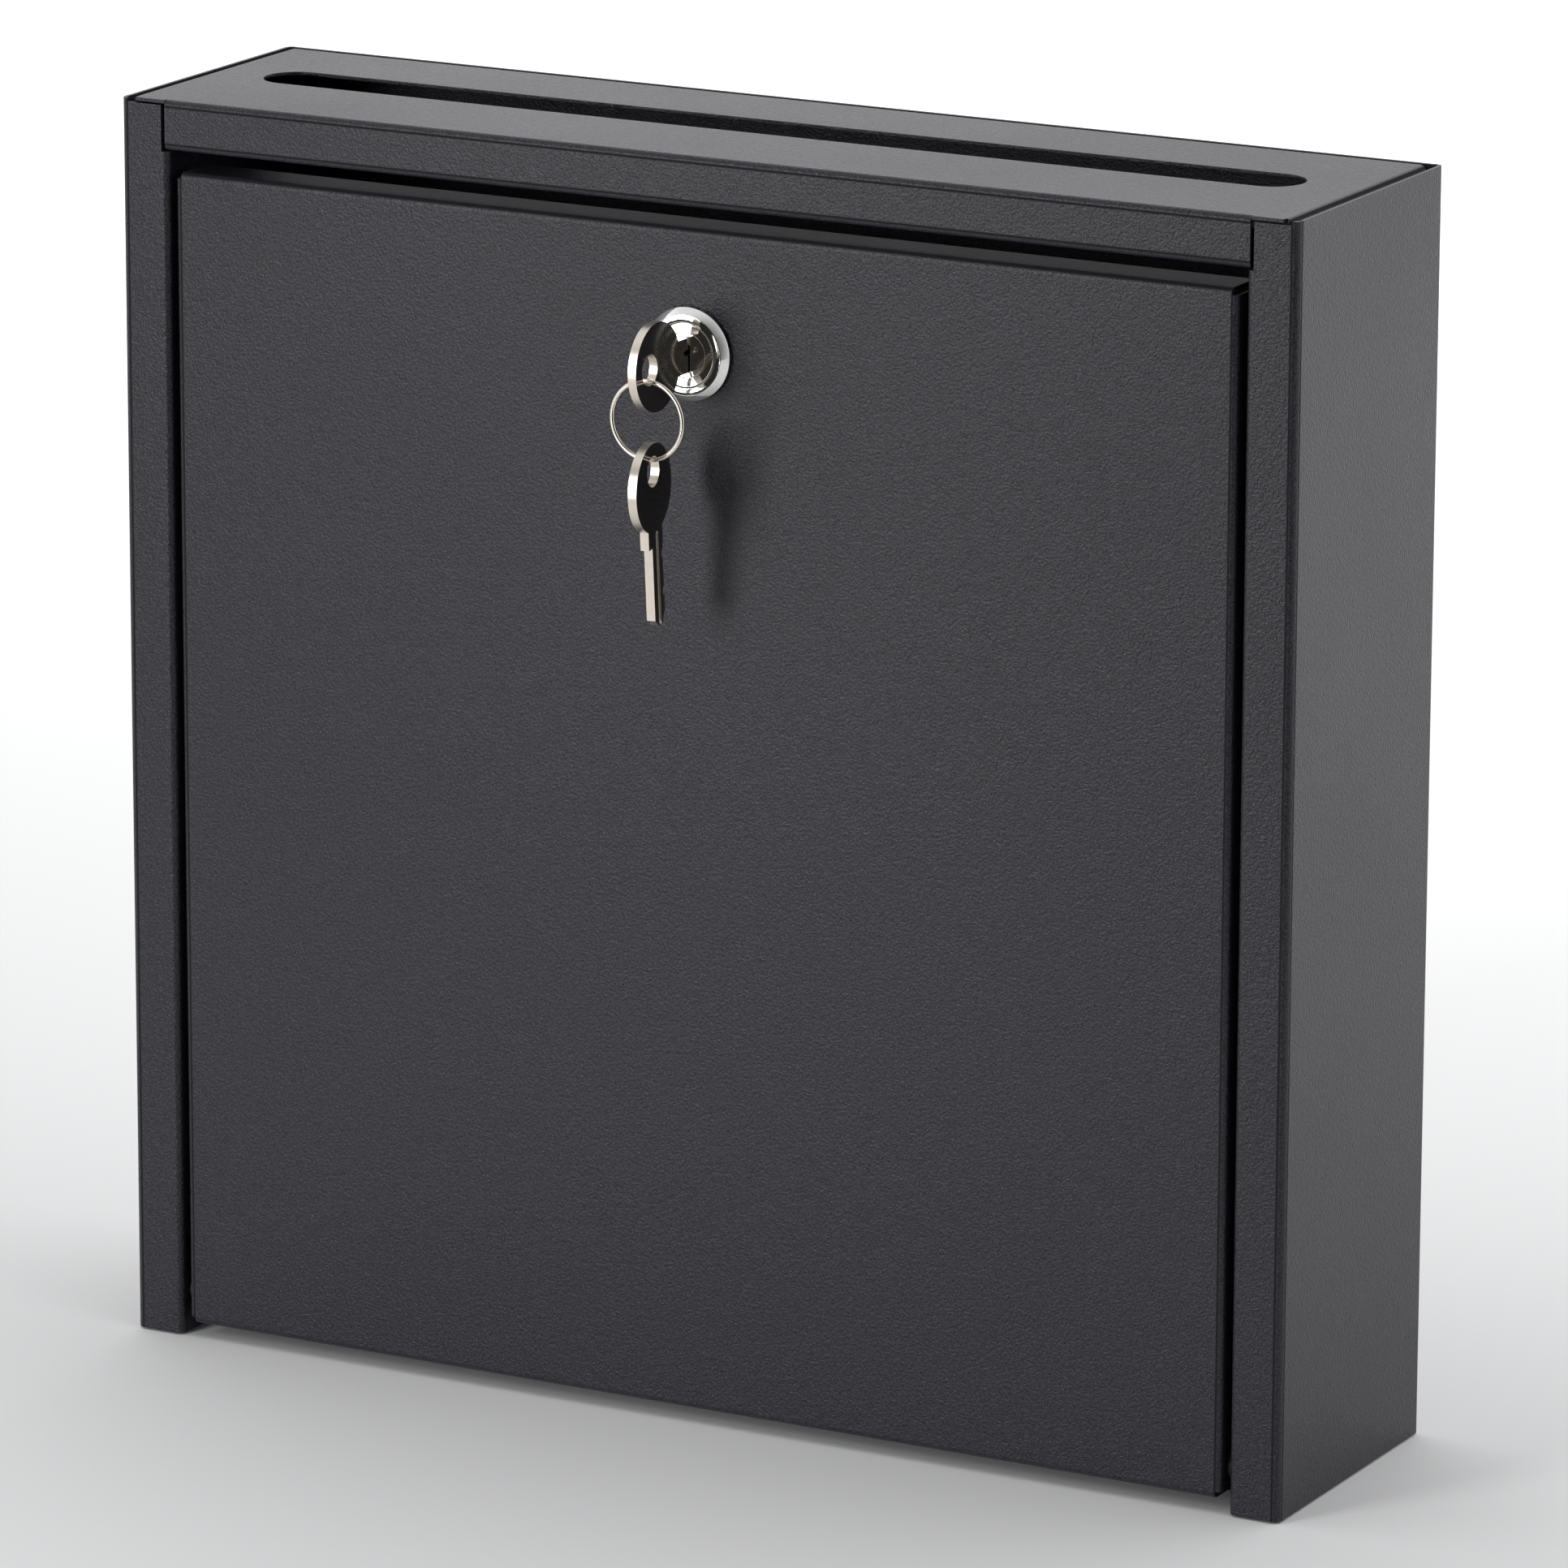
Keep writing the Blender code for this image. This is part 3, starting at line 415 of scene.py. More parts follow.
def baked(obj):
    """A new mesh with the object's modifiers applied."""
    bpy.context.view_layer.update()
    graph = bpy.context.evaluated_depsgraph_get()
    return bpy.data.meshes.new_from_object(obj.evaluated_get(graph))


def evaluated_mesh(obj):
    """The baked mesh in the shared frame, with doubled points welded."""
    mesh = baked(obj)
    mesh.transform(obj.matrix_world)
    bm = bmesh.new()
    bm.from_mesh(mesh)
    bmesh.ops.remove_doubles(bm, verts=bm.verts, dist=WELD)
    bm.to_mesh(mesh)
    bm.free()
    return mesh


def clear_scratch():
    for obj in list(SCRATCH.objects):
        bpy.data.objects.remove(obj, do_unlink=True)


def keep_inside(obj, nodes):
    """Bakes the piece and holds its points inside the box of the CAD nodes it stands for."""
    mesh = baked(obj)
    obj.modifiers.clear()
    obj.data = mesh
    boxes = [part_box(node) for node in nodes]
    for vertex in mesh.vertices:
        for axis in range(3):
            low = min(box[0][axis] for box in boxes)
            high = max(box[1][axis] for box in boxes)
            vertex.co[axis] = min(max(vertex.co[axis], low), high)


def finish_piece(name, source, look, body, nodes, edge=EDGE_ROUND):
    """Makes the shown piece from a helper: worked mesh, rounded cut edges and smooth bends."""
    mesh = evaluated_mesh(source)
    clear_scratch()
    mesh.materials.clear()
    mesh.materials.append(look)
    obj = bpy.data.objects.new(name, mesh)
    bpy.context.scene.collection.objects.link(obj)
    mesh.shade_smooth()
    if edge:
        bevel = obj.modifiers.new("edges", "BEVEL")
        bevel.width = edge
        bevel.segments = 2
        bevel.limit_method = "ANGLE"
        bevel.angle_limit = EDGE_ANGLE
        bevel.use_clamp_overlap = True
        bevel.harden_normals = False
    weighted = obj.modifiers.new("normals", "WEIGHTED_NORMAL")
    weighted.keep_sharp = True
    weighted.weight = FLAT_FACE_WEIGHT
    keep_inside(obj, nodes)
    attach(obj, body)
    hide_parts(*nodes)


# ---------------------------------------------------------------- folded sheets
def bend(along, inward, radius):
    """The short moves that carry an edge round a square bend, from running along to inward."""
    moves = []
    last = Vector((0, 0, 0))
    for step in range(1, BEND_STEPS + 1):
        angle = math.pi / 2 * step / BEND_STEPS
        place = radius * (math.sin(angle) * along + (1 - math.cos(angle)) * inward)
        moves.append(place - last)
        last = place
    return moves


def fold(bm, edges, moves):
    """Draws a sheet on from its edges through the moves."""
    for move in moves:
        made = bmesh.ops.extrude_edge_only(bm, edges=edges)["geom"]
        verts = [item for item in made if isinstance(item, bmesh.types.BMVert)]
        kept = set(verts)
        edges = [item for item in made if isinstance(item, bmesh.types.BMEdge)]
        edges = [e for e in edges if e.verts[0] in kept and e.verts[1] in kept]
        bmesh.ops.translate(bm, vec=move, verts=verts)


def flat_sheet(corner, across, up):
    """One flat face, from a corner and its two edges."""
    bm = bmesh.new()
    corners = [corner, corner + across, corner + across + up, corner + up]
    bm.faces.new([bm.verts.new(place) for place in corners])
    return bm


def edges_at(bm, axis, value, low=None, high=None, along=0):
    """The edges at a value of one axis. Low and high limit their middles along another."""
    found = []
    for edge in bm.edges:
        if any(abs(v.co[axis] - value) > NEAR for v in edge.verts):
            continue
        middle = (edge.verts[0].co[along] + edge.verts[1].co[along]) / 2
        if low is None or low < middle < high:
            found.append(edge)
    return found


def split_at(bm, places):
    """Splits a flat sheet across its width, at places along X."""
    for x in places:
        geom = bm.verts[:] + bm.edges[:] + bm.faces[:]
        bmesh.ops.bisect_plane(bm, geom=geom, plane_co=(x, 0, 0), plane_no=X)


def solid_sheet(name, bm, facing):
    """Thickens a sheet inward from the side that faces the given way."""
    bmesh.ops.recalc_face_normals(bm, faces=bm.faces)
    bm.normal_update()
    if sum(face.normal.dot(facing) * face.calc_area() for face in bm.faces) < 0:
        bmesh.ops.reverse_faces(bm, faces=bm.faces)
    obj = scratch(name, mesh_from(bm, name))
    solidify = obj.modifiers.new("sheet", "SOLIDIFY")
    solidify.thickness = SHEET
    solidify.offset = -1
    solidify.use_even_offset = True
    return obj


def body_shell():
    """Back, sides and front stiles in one folded sheet, with the door's stop flanges."""
    inside = BODY_BEND - SHEET
    low = Vector((HALF_WIDTH - BODY_BEND, BACK, BODY_LOW.z))
    bm = flat_sheet(low, -2 * low.x * X, (WALL_TOP - BODY_LOW.z) * Z)
    depth = BACK - FRONT
    stile = HALF_WIDTH - OPENING_HALF
    for side in (-1, 1):
        out = side * X
        moves = bend(out, -Y, BODY_BEND) + [-(depth - 2 * BODY_BEND) * Y]
        moves += bend(-Y, -out, BODY_BEND) + [-(stile - 2 * BODY_BEND) * out]
        run = RETURN_BACK - FRONT - SHEET - BODY_BEND - inside
        moves += bend(-out, Y, BODY_BEND) + [run * Y]
        moves += bend(Y, -out, inside) + [-(STOP_FLANGE - inside) * out]
        fold(bm, edges_at(bm, 0, side * low.x), moves)
    obj = solid_sheet("shell", bm, Y)
    inner = OPENING_HALF - STOP_FLANGE - 2 * SHEET
    outer = OPENING_HALF + HEADER_SIDE_GAP + SHEET
    for side in (-1, 1):
        pair = sorted((side * inner, side * outer))
        low = (pair[0], FRONT - SHEET, HEADER_BOTTOM - CLEARANCE)
        cut(obj, block(f"header{side}", low, (pair[1], RETURN_BACK + 2 * SHEET, HEIGHT + SHEET)))
        pair = sorted((side * (outer - SHEET), side * (HALF_WIDTH - BODY_BEND)))
        low = (pair[0], FRONT - SHEET, HEIGHT - SHEET - CLEARANCE)
        cut(obj, block(f"tab{side}", low, (pair[1], FRONT + 2 * SHEET, HEIGHT + SHEET)))
        pair = sorted((side * inner, side * (OPENING_HALF - CLEARANCE)))
        high = (pair[1], RETURN_BACK + 2 * SHEET, STOP_START)
        cut(obj, block(f"stop{side}", (pair[0], FRONT + BODY_BEND, -SHEET), high))
        low = (pair[0], FRONT + BODY_BEND, DOOR_HIGH.z - STOP_TOP_DROP)
        high = (pair[1], RETURN_BACK + 2 * SHEET, HEADER_BOTTOM)
        cut(obj, block(f"stop_top{side}", low, high))
        pin = (side * OPENING_HALF, PIVOT.y, PIVOT.z)
        cut(obj, rod(f"pin{side}", pin, PIN_HOLE, 4 * SHEET, ALONG_X))
        wall_holes(obj, side)
    return obj


def wall_holes(obj, side):
    """A keyhole slot and, below it, a plain screw hole."""
    aside = side * KEYHOLE_SPREAD / 2
    height = HEIGHT - KEYHOLE_DROP
    upright = ALONG_Y @ Matrix.Rotation(math.radians(90), 4, "Z")
    cut(obj, rod(f"keyhole{side}", (aside, BACK, height), KEYHOLE_RADIUS, 4 * SHEET, ALONG_Y))
    neck = (aside, BACK, height + KEYHOLE_RISE / 2)
    length = KEYHOLE_RISE + 2 * KEYHOLE_NECK
    cut(obj, bar(f"neck{side}", neck, length, 2 * KEYHOLE_NECK, 4 * SHEET, upright, ROUND_STEPS))
    lower = (aside, BACK, SCREW_HOLE_HEIGHT)
    cut(obj, rod(f"screw{side}", lower, KEYHOLE_NECK, 4 * SHEET, ALONG_Y))


def top_shell():
    """The slotted top with its header channel and turned-down edges."""
    side_edge = TOP_HIGH.x - PAN_BEND
    back_edge = TOP_HIGH.y - PAN_BEND
    front_edge = FRONT + PAN_BEND
    header_half = OPENING_HALF + HEADER_SIDE_GAP
    corner = Vector((-side_edge, front_edge, HEIGHT))
    bm = flat_sheet(corner, 2 * side_edge * X, (back_edge - front_edge) * Y)
    split_at(bm, (-header_half, header_half))
    header = bend(-Y, -Z, PAN_BEND) + [-(HEIGHT - HEADER_BOTTOM - 2 * PAN_BEND) * Z]
    run = RETURN_BACK - FRONT - 2 * PAN_BEND
    header += bend(-Z, Y, PAN_BEND) + [run * Y]
    header += bend(Y, Z, PAN_BEND) + [(STRIKE_RISE - PAN_BEND) * Z]
    edges = edges_at(bm, 1, front_edge)
    middle = [e for e in edges if abs(e.verts[0].co.x + e.verts[1].co.x) < MIDDLE]
    corners = [e for e in edges if e not in middle]
    fold(bm, middle, header)
    fold(bm, corners, [-(PAN_BEND - CLEARANCE) * Y])
    flange = -(TOP_FLANGE - PAN_BEND) * Z
    fold(bm, edges_at(bm, 1, back_edge), bend(Y, -Z, PAN_BEND) + [flange])
    for side in (-1, 1):
        flat = edges_at(bm, 0, side * side_edge, front_edge, back_edge, 1)
        fold(bm, flat, bend(side * X, -Z, PAN_BEND) + [flange])
    obj = solid_sheet("top", bm, Z)
    slot = (SLOT_ASIDE, FRONT + SLOT_SETBACK, HEIGHT)
    cut(obj, bar("slot", slot, SLOT_LENGTH, SLOT_WIDTH, 6 * SHEET, Matrix(), SLOT_STEPS))
    return obj


def bottom_shell():
    """The tray in the foot of the body, with its front sill."""
    side_edge = TRAY_HIGH.x - PAN_BEND
    back_edge = TRAY_HIGH.y - PAN_BEND
    front_edge = TRAY_LOW.y + PAN_BEND
    sill_half = OPENING_HALF - SILL_SIDE_GAP
    corner = Vector((side_edge, front_edge, TRAY_LOW.z))
    bm = flat_sheet(corner, -2 * side_edge * X, (back_edge - front_edge) * Y)
    split_at(bm, (-sill_half, sill_half))
    flange = (TRAY_HIGH.z - TRAY_LOW.z - PAN_BEND) * Z
    front = edges_at(bm, 1, front_edge)
    sill = [e for e in front if abs(e.verts[0].co.x + e.verts[1].co.x) < MIDDLE]
    fold(bm, sill, bend(-Y, Z, PAN_BEND) + [flange])
    fold(bm, edges_at(bm, 1, back_edge), bend(Y, Z, PAN_BEND) + [flange])
    for side in (-1, 1):
        flat = edges_at(bm, 0, side * side_edge, front_edge, back_edge, 1)
        fold(bm, flat, bend(side * X, Z, PAN_BEND) + [flange])
    return solid_sheet("tray", bm, -Z)


def door_shell():
    """A pan with four turned-back edges, open at its corner notches."""
    low = Vector((DOOR_LOW.x + PAN_BEND, FRONT, DOOR_LOW.z + PAN_BEND))
    tall = DOOR_HIGH.z - DOOR_LOW.z - 2 * PAN_BEND
    bm = flat_sheet(low, -2 * low.x * X, tall * Z)
    flange = (DOOR_HIGH.y - FRONT - PAN_BEND) * Y
    fold(bm, edges_at(bm, 2, low.z + tall), bend(Z, Y, PAN_BEND) + [flange])
    fold(bm, edges_at(bm, 2, low.z), bend(-Z, Y, PAN_BEND) + [(BOTTOM_RETURN - PAN_BEND) * Y])
    for side in (-1, 1):
        flat = edges_at(bm, 0, -side * low.x, low.z, low.z + tall, 2)
        fold(bm, flat, bend(side * X, Y, PAN_BEND) + [flange])
    obj = solid_sheet("door", bm, -Y)
    hole = (LOCK.x, FRONT, LOCK.z)
    cut(obj, rod("lock_hole", hole, HOUSING_BODY + CLEARANCE, 4 * SHEET, ALONG_Y, LOCK_HOLE_SIDES))
    for side in (-1, 1):
        pin = (side * DOOR_HIGH.x, PIVOT.y, PIVOT.z)
        cut(obj, rod(f"door_pin{side}", pin, PIN_HOLE, 4 * SHEET, ALONG_X))
    return obj


# ---------------------------------------------------------------- lock
LOCK = Vector(JOINTS["lock_turn"]["pos_m"])
BEZEL_RADIUS = HOUSING_HIGH.x - LOCK.x
BEZEL_FACE_RADIUS = 0.0095
HOUSING_BODY = 0.0093
BORE = 0.00765
BEZEL_ROUND = 0.0002
BORE_ROUND = 0.00015
THREAD_PITCH = 0.0009
THREAD_DEPTH = 0.0004
THREAD_START = 0.0014
THREAD_STOP = 0.002
PLUG_TAIL = 0.002
FACE_SUNK = 0.00035
FACE_SUNK_RADIUS = 0.0052
FACE_RING_RADIUS = 0.0054
TANG_HALF = 0.0031
PLUG_RADIUS = PLUG_HIGH.x - LOCK.x


def turned(name, profile):
    """A profile of (radius, height) points from top to bottom, turned round the lock's axis."""
    bm = bmesh.new()
    verts = [bm.verts.new((radius, 0, height)) for radius, height in profile]
    for first, second in zip(verts, verts[1:]):
        bm.edges.new((first, second))
    if min(point[0] for point in profile) > 0:
        bm.edges.new((verts[-1], verts[0]))
    centre = (LOCK.x, FRONT, LOCK.z)
    obj = scratch(name, mesh_from(bm, name), Matrix.Translation(centre) @ OUTWARD)
    screw = obj.modifiers.new("turn", "SCREW")
    screw.axis = "Z"
    screw.steps = LATHE_STEPS
    screw.render_steps = LATHE_STEPS
    screw.use_merge_vertices = True
    screw.merge_threshold = WELD
    return obj


def housing():
    """Polished bezel: flat ring, rounded rim and a conical skirt, then the threaded barrel."""
    proud = FRONT - HOUSING_LOW.y
    long = HOUSING_HIGH.y - FRONT
    profile = [
        (BORE + BORE_ROUND, proud),
        (BEZEL_FACE_RADIUS - BEZEL_ROUND, proud),
        (BEZEL_FACE_RADIUS, proud - 0.00012),
        (BEZEL_RADIUS - BEZEL_ROUND / 2, SHEET + CLEARANCE + BEZEL_ROUND / 2),
        (BEZEL_RADIUS, SHEET + CLEARANCE - BEZEL_ROUND),
        (BEZEL_RADIUS, CLEARANCE),
        (HOUSING_BODY, CLEARANCE),
    ]
    root = HOUSING_BODY - THREAD_DEPTH
    turns = int((long - THREAD_STOP) / THREAD_PITCH)
    for index in range(turns):
        start = -THREAD_START - index * THREAD_PITCH
        profile.append((HOUSING_BODY, start))
        profile.append((root, start - THREAD_PITCH / 2))
    profile += [(root, -long), (BORE, -long), (BORE, proud - BORE_ROUND)]
    return turned("housing", profile)


def plug():
    """The plug: a face sunk a little inside its rim, the keyway, and the square tang for the cam."""
    face = FRONT - PLUG_LOW.y
    back = PLUG_HIGH.y - FRONT - PLUG_TAIL
    profile = [
        (0, face - FACE_SUNK),
        (FACE_SUNK_RADIUS, face - FACE_SUNK),
        (FACE_RING_RADIUS, face),
        (PLUG_RADIUS - BEZEL_ROUND, face),
        (PLUG_RADIUS, face - BEZEL_ROUND),
        (PLUG_RADIUS, -back),
        (0, -back),
    ]
    obj = turned("plug", profile)
    low = (LOCK.x - TANG_HALF, FRONT + back - CLEARANCE, LOCK.z - TANG_HALF)
    high = (LOCK.x + TANG_HALF, PLUG_HIGH.y, LOCK.z + TANG_HALF)
    cut(obj, block("tang", low, high), "UNION")
    half_thick = KEY_THICK / 2 + KEY_PLAY
    low = (LOCK.x - half_thick, PLUG_LOW.y - SHEET, LOCK.z - BLADE_LOW - KEY_PLAY)
    high = (LOCK.x + half_thick, KEY_HIGH.y + CLEARANCE, LOCK.z + BLADE_HIGH + KEY_PLAY)
    cut(obj, block("keyway", low, high))
    return obj


# ---------------------------------------------------------------- keys and ring
RING_STEPS = 120
WIRE_SIDES = 16
RING_WIRE = (RING_HIGH.y - RING_LOW.y) / 2
RING_RADIUS = (RING_HIGH.x - RING_LOW.x) / 2 - RING_WIRE
KEY_THICK = KEY_HIGH.x - KEY_LOW.x
BOW_RADIUS = (KEY_HIGH.z - KEY_LOW.z) / 2
KEY_HOLE_RADIUS = 0.0036
KEY_HOLE_OFFSET = 0.0039
SHOULDER_LENGTH = 0.0034
SHOULDER_HIGH = 0.0042
SHOULDER_LOW = 0.0040
BLADE_HIGH = 0.0022
BLADE_LOW = 0.0038
BLADE_LENGTH = 0.0188
GROOVE_WIDTH = 0.0014
KEY_EDGE = 0.0002
KEY_PLAY = 0.00025
BIT_DEPTH = 0.0010
BIT_COUNT = 5
SPARE_TURN = math.radians(6.6)
SPARE_LEAN = math.radians(4.5)
SPARE_ASIDE = 0.0007
SPARE_X = LOCK.x + SPARE_ASIDE
HOLE_SLACK = RING_WIRE + CLEARANCE - KEY_HOLE_RADIUS


def arc(centre, radius, start, end, steps):
    """Points round an arc, its ends included. Angles are in degrees."""
    angles = [math.radians(start + (end - start) * step / steps) for step in range(steps + 1)]
    return [(centre[0] + radius * math.cos(a), centre[1] + radius * math.sin(a)) for a in angles]


def plate(name, outlines, thickness):
    """A flat plate, centred on its thickness, from closed outlines. The later ones are its holes."""
    curve = bpy.data.curves.new(name, "CURVE")
    curve.dimensions = "2D"
    curve.fill_mode = "BOTH"
    curve.extrude = thickness / 2
    for outline in outlines:
        spline = curve.splines.new("POLY")
        spline.points.add(len(outline) - 1)
        for point, (x, y) in zip(spline.points, outline):
            point.co = (x, y, 0, 1)
        spline.use_cyclic_u = True
    holder = scratch(name + "_curve", curve)
    mesh = evaluated_mesh(holder)
    bpy.data.objects.remove(holder, do_unlink=True)
    return scratch(name, mesh)


def key_outline():
    """Bow, shoulder and bitted blade. The bow's centre is the origin and the tip is at +X."""
    neck_high = math.degrees(math.asin(SHOULDER_HIGH / BOW_RADIUS))
    neck_low = math.degrees(math.asin(SHOULDER_LOW / BOW_RADIUS))
    shoulder = BOW_RADIUS + SHOULDER_LENGTH
    tip = shoulder + BLADE_LENGTH
    point = BLADE_HIGH + BLADE_LOW
    outline = arc((0, 0), BOW_RADIUS, neck_high, 360 - neck_low, 90)
    outline.append((shoulder, -SHOULDER_LOW))
    outline.append((shoulder, -BLADE_LOW))
    pitch = (BLADE_LENGTH - point / 2) / (BIT_COUNT + 0.5)
    for bit in range(BIT_COUNT):
        start = shoulder + pitch * (bit + 0.5)
        depth = BIT_DEPTH * (0.5 + 0.5 * math.sin(2.4 * bit + 1))
        outline.append((start, -BLADE_LOW))
        outline.append((start + pitch * 0.35, -BLADE_LOW + depth))
        outline.append((start + pitch * 0.65, -BLADE_LOW + depth))
    outline.append((tip - point / 2, -BLADE_LOW))
    outline.append((tip, BLADE_HIGH - 0.7 * point))
    outline.append((tip, BLADE_HIGH - 0.3 * point))
    outline.append((tip - point / 4, BLADE_HIGH))
    outline.append((shoulder, BLADE_HIGH))
    outline.append((shoulder, SHOULDER_HIGH))
    return outline


def key_blank(name, matrix):
    """A whole key: outline, ring hole and a groove along each side of its blade."""
    hole = arc((-KEY_HOLE_OFFSET, 0), KEY_HOLE_RADIUS, 0, 352, 44)
    obj = plate(name, [key_outline(), hole], KEY_THICK)
    length = 2 * BLADE_LENGTH
    middle = BOW_RADIUS + BLADE_LENGTH
    obj.matrix_world = matrix
    for side in (-1, 1):
        place = Vector((middle, side * GROOVE_WIDTH / 2, side * KEY_THICK / 2))
        sizes = (length, GROOVE_WIDTH, KEY_THICK / 2)
        cutter = bar(f"groove{side}", place, *sizes, Matrix(), ROUND_STEPS)
        cutter.matrix_world = matrix @ cutter.matrix_world
        cut(obj, cutter)
    return obj


def main_key_matrix():
    """It stands upright in the lock, its tip toward the back."""
    turn = Matrix(((0, 0, 1, 0), (1, 0, 0, 0), (0, 1, 0, 0), (0, 0, 0, 1)))
    return Matrix.Translation((LOCK.x, KEY_LOW.y + BOW_RADIUS, LOCK.z)) @ turn


def spare_key_matrix():
    """It hangs on the ring's wire, turned a little from square and leaning toward the door."""
    turn = Matrix(((0, 0, -1, 0), (0, -1, 0, 0), (-1, 0, 0, 0), (0, 0, 0, 1)))
    pivot = Vector(JOINTS["spare_swing"]["pos_m"])
    pivot.x = SPARE_X
    drop = Matrix.Translation((0, 0, HOLE_SLACK - KEY_HOLE_OFFSET))
    swing = Matrix.Translation(pivot) @ Matrix.Rotation(SPARE_LEAN, 4, "X")
    return swing @ drop @ Matrix.Rotation(SPARE_TURN, 4, "Z") @ turn


def ring():
    """A round wire loop."""
    bm = bmesh.new()
    rings = []
    for step in range(RING_STEPS):
        angle = 2 * math.pi * step / RING_STEPS
        out = Vector((math.cos(angle), 0, math.sin(angle)))
        loop = []
        for side in range(WIRE_SIDES):
            round_angle = 2 * math.pi * side / WIRE_SIDES
            place = out * (RING_RADIUS + RING_WIRE * math.cos(round_angle))
            loop.append(bm.verts.new(place + Y * RING_WIRE * math.sin(round_angle)))
        rings.append(loop)
    for first, second in zip(rings, rings[1:] + rings[:1]):
        for side in range(WIRE_SIDES):
            after = (side + 1) % WIRE_SIDES
            bm.faces.new((first[side], second[side], second[after], first[after]))
    bmesh.ops.recalc_face_normals(bm, faces=bm.faces)
    middle = (RING_LOW + RING_HIGH) / 2
    return scratch("ring", mesh_from(bm, "ring"), Matrix.Translation(middle))


# ---------------------------------------------------------------- build
COAT = powder_coat("powder_coat_black")
# painted shade: where each coat gets dark lines beside its bends and edges
BODY_SHADE_LINES = (("X", HALF_WIDTH - BODY_BEND), ("Y", FRONT + BODY_BEND))
BODY_COAT = powder_coat("powder_coat_body", BODY_SHADE_LINES)
TOP_SHADE_LINES = (
    ("Z", HEIGHT - PAN_BEND),
    ("Z", HEADER_BOTTOM + PAN_BEND),
    ("X", TOP_HIGH.x - SHADE_LINE_WIDTH),
)
TOP_COAT = powder_coat("powder_coat_top", TOP_SHADE_LINES)
DOOR_SHADE_LINES = (("X", DOOR_HIGH.x - PAN_BEND), ("Z", DOOR_HIGH.z - SHADE_LINE_WIDTH))
DOOR_COAT = powder_coat("powder_coat_door", DOOR_SHADE_LINES)
CHROME = polished("chrome_plate", CHROME_COLOUR, 0.04)
NICKEL = polished("nickel_plate", NICKEL_COLOUR, 0.16, RING_RELIEF, spread=0.1)
KEY_NICKEL = tumbled_key("key_nickel", KEY_COLOUR, face_rough=0.07, rim_rough=0.30)
ZINC = brushed("zinc_plate", ZINC_COLOUR, 0.28)
BRASS = brushed("stamped_brass", BRASS_COLOUR, 0.25)
NYLON = moulded_plastic()

finish_piece("body_shell", body_shell(), BODY_COAT, "box", ["body_wrap"])
finish_piece("top_shell", top_shell(), TOP_COAT, "box", ["top_panel"])
finish_piece("bottom_shell", bottom_shell(), COAT, "box", ["bottom_panel"])
finish_piece("door_shell", door_shell(), DOOR_COAT, "door", ["door_panel"])
finish_piece("lock_barrel", housing(), CHROME, "door", ["lock_housing"], edge=0)
finish_piece("lock_core", plug(), CHROME, "plug", ["lock_plug"], edge=0.00008)
main_key = key_blank("key", main_key_matrix())
finish_piece("key_in_lock", main_key, KEY_NICKEL, "key", ["key_main"], KEY_EDGE)
spare_key = key_blank("key", spare_key_matrix())
finish_piece("key_on_ring", spare_key, KEY_NICKEL, "spare", ["key_spare"], KEY_EDGE)
finish_piece("ring_wire", ring(), NICKEL, "ring", ["key_ring"], edge=0)

CARRIED = {
    "pivot_rivet_left": ZINC,
    "pivot_rivet_right": ZINC,
    "pivot_washer_left": NYLON,
    "pivot_washer_right": NYLON,
    "lock_nut": ZINC,
    "cam": ZINC,
    "cam_washer": ZINC,
    "cam_screw": ZINC,
}
CARRIED.update({f"wafer_{index + 1}": BRASS for index in range(5)})
for node, look in CARRIED.items():
    obj = frame["nodes"][node]
    obj.data.materials.clear()
    obj.data.materials.append(look)


# ---------------------------------------------------------------- floor, light and camera
FRONT_LIGHT_TURN = math.radians(24)
FRONT_LIGHT_RISE = math.radians(8)
FRONT_LIGHT_DISTANCE = 1.0
FRONT_LIGHT_SIZE = (0.32, 0.80)
FRONT_LIGHT_RADIANCE = 2.1
FRONT_LIGHT_SPREAD = math.radians(90)
FLOOR_HALF = 6
FLOOR_FRONT = -0.55
FLOOR_DROP = 0.0005
FLOOR_GLOW = 0.75
GLOW_START = -0.05
GLOW_END = 1.3


def floor():
    """A pale table that ends a little in front of the box. Its paint glows, more toward the back:
    painted light, as no lamp lights it.
    """
    corner = Vector((-FLOOR_HALF, FLOOR_FRONT, 0))
    bm = flat_sheet(corner, 2 * FLOOR_HALF * X, (FLOOR_HALF - FLOOR_FRONT) * Y)
    mesh = mesh_from(bm, "floor")
    obj = bpy.data.objects.new("floor", mesh)
    bpy.context.scene.collection.objects.link(obj)
    obj.location.z = cad_bounds[0].z - FLOOR_DROP
    made = Nodes("floor_paint")
    made.set("Base Color", made.blend(made.noise(FLOOR_CLOUD), FLOOR_DARK, FLOOR_LIGHT))
    made.set("Roughness", 0.9)
    split = made.add("ShaderNodeSeparateXYZ")
    made.link(made.place, split.inputs["Vector"])
    # painted light: the table's own glow, rising from front to back
    glow = made.span(split.outputs["Y"], 0.0, FLOOR_GLOW, GLOW_START, GLOW_END)
    made.set("Emission Color", (1.0, 1.0, 1.0, 1.0))
    made.set("Emission Strength", glow)
    mesh.materials.append(made.material)


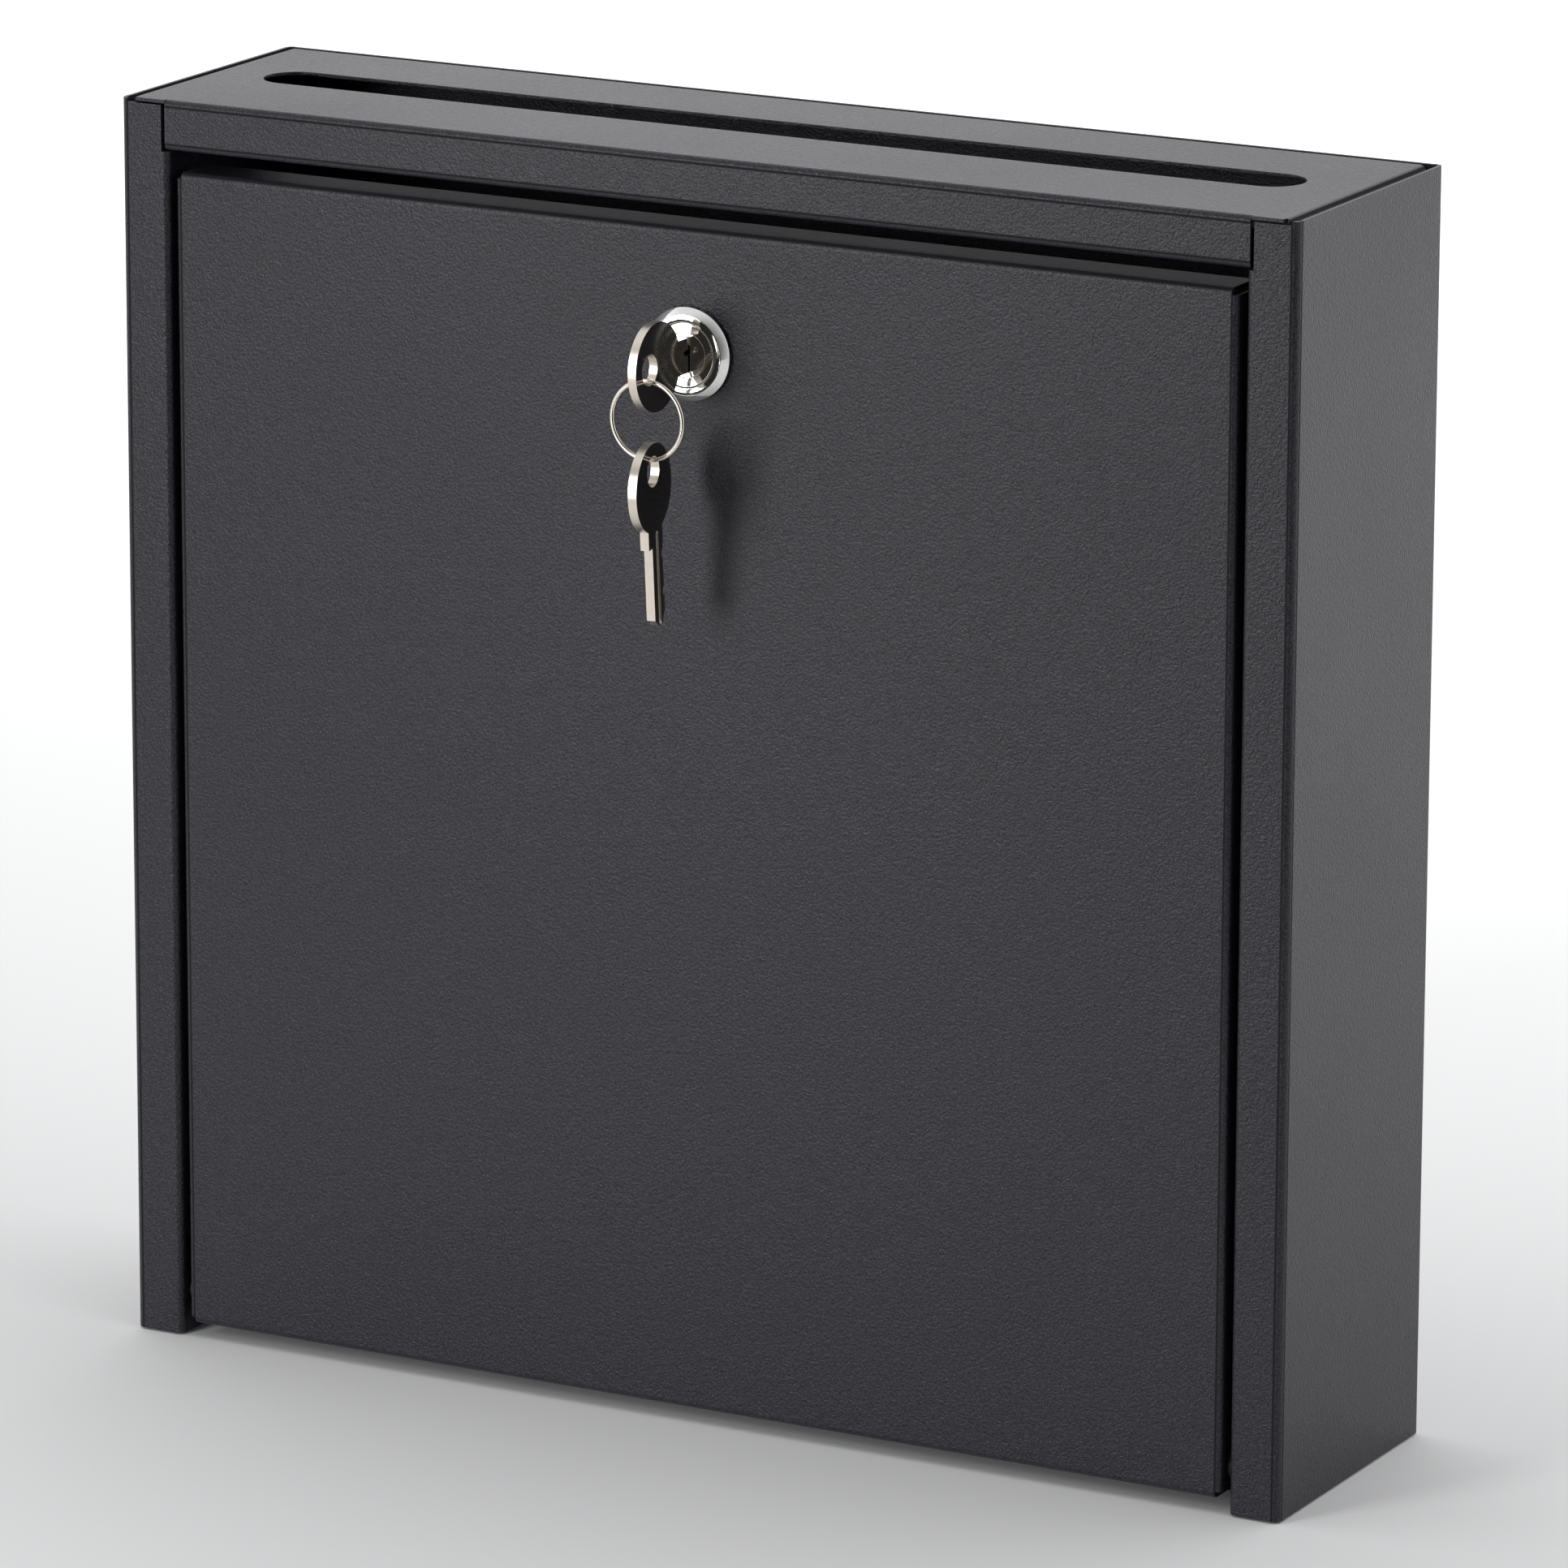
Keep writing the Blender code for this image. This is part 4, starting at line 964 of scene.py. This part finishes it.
def world():
    """A pale studio: bright behind and beside the box, dim in front, with a pale backdrop all round."""
    made = bpy.data.worlds.new("studio")
    bpy.context.scene.world = made
    made.use_nodes = True
    tree = made.node_tree
    background = tree.nodes["Background"]
    place = tree.nodes.new("ShaderNodeTexCoord").outputs["Generated"]

    def facing(direction, low, high, start, end):
        dot = tree.nodes.new("ShaderNodeVectorMath")
        dot.operation = "DOT_PRODUCT"
        dot.inputs[1].default_value = Vector(direction).normalized()
        tree.links.new(place, dot.inputs[0])
        node = tree.nodes.new("ShaderNodeMapRange")
        node.interpolation_type = "SMOOTHSTEP"
        node.inputs["From Min"].default_value = start
        node.inputs["From Max"].default_value = end
        node.inputs["To Min"].default_value = low
        node.inputs["To Max"].default_value = high
        tree.links.new(dot.outputs["Value"], node.inputs["Value"])
        return node.outputs["Result"]

    def combined(operation, first, second):
        node = tree.nodes.new("ShaderNodeMath")
        node.operation = operation
        tree.links.new(first, node.inputs[0])
        tree.links.new(second, node.inputs[1])
        return node.outputs["Value"]

    dim_front = facing((0.12, -1, 0), 1.2, 0.045, 0.2, 0.75)
    dim_above = facing((0, 0, 1), 1.0, 0.7, 0.45, 0.9)
    backdrop = tree.nodes.new("ShaderNodeLightPath").outputs["Is Camera Ray"]
    light = combined("MULTIPLY", dim_front, dim_above)
    tree.links.new(combined("MAXIMUM", light, backdrop), background.inputs["Strength"])
    background.inputs["Color"].default_value = (*SKY, 1)


def area_light(name, place, target, size, radiance):
    data = bpy.data.lights.new(name, "AREA")
    data.shape = "RECTANGLE"
    data.size, data.size_y = size
    data.energy = radiance * math.pi * size[0] * size[1]
    obj = bpy.data.objects.new(name, data)
    bpy.context.scene.collection.objects.link(obj)
    obj.location = place
    obj.rotation_euler = (Vector(target) - Vector(place)).to_track_quat("-Z", "Y").to_euler()
    return obj


def front_light():
    """A tall soft box at the front, left of the camera."""
    toward = Vector((
        -math.sin(FRONT_LIGHT_TURN) * math.cos(FRONT_LIGHT_RISE),
        -math.cos(FRONT_LIGHT_TURN) * math.cos(FRONT_LIGHT_RISE),
        math.sin(FRONT_LIGHT_RISE),
    ))
    place = LOCK + toward * FRONT_LIGHT_DISTANCE
    lamp = area_light("front_light", place, LOCK, FRONT_LIGHT_SIZE, FRONT_LIGHT_RADIANCE)
    lamp.data.spread = FRONT_LIGHT_SPREAD


CAMERA_TURN = math.radians(28.3)
CAMERA_RISE = math.radians(14.59)
CAMERA_ROLL = math.radians(0.18)
CAMERA_DISTANCE = 2.327
CAMERA_AIM = Vector((0.0038, 0, 0.1463))
CAMERA_LENS = 228.53
CAMERA_SENSOR = 36
CAMERA_REACH = 50


def camera():
    """The view from the front right, a little above the box."""
    back = Vector((
        math.sin(CAMERA_TURN) * math.cos(CAMERA_RISE),
        -math.cos(CAMERA_TURN) * math.cos(CAMERA_RISE),
        math.sin(CAMERA_RISE),
    ))
    level = Vector((math.cos(CAMERA_TURN), math.sin(CAMERA_TURN), 0))
    upright = back.cross(level)
    right = level * math.cos(CAMERA_ROLL) + upright * math.sin(CAMERA_ROLL)
    up = back.cross(right)
    data = bpy.data.cameras.new("camera")
    data.lens = CAMERA_LENS
    data.sensor_width = CAMERA_SENSOR
    obj = bpy.data.objects.new("camera", data)
    bpy.context.scene.collection.objects.link(obj)
    place = CAMERA_AIM + back * CAMERA_DISTANCE
    matrix = Matrix((right, up, back)).transposed().to_4x4()
    obj.matrix_world = Matrix.Translation(place) @ matrix
    data.clip_end = CAMERA_REACH
    bpy.context.scene.camera = obj


floor()
world()
front_light()
camera()
bpy.context.scene.view_settings.view_transform = "Standard"

bpy.data.collections.remove(SCRATCH)
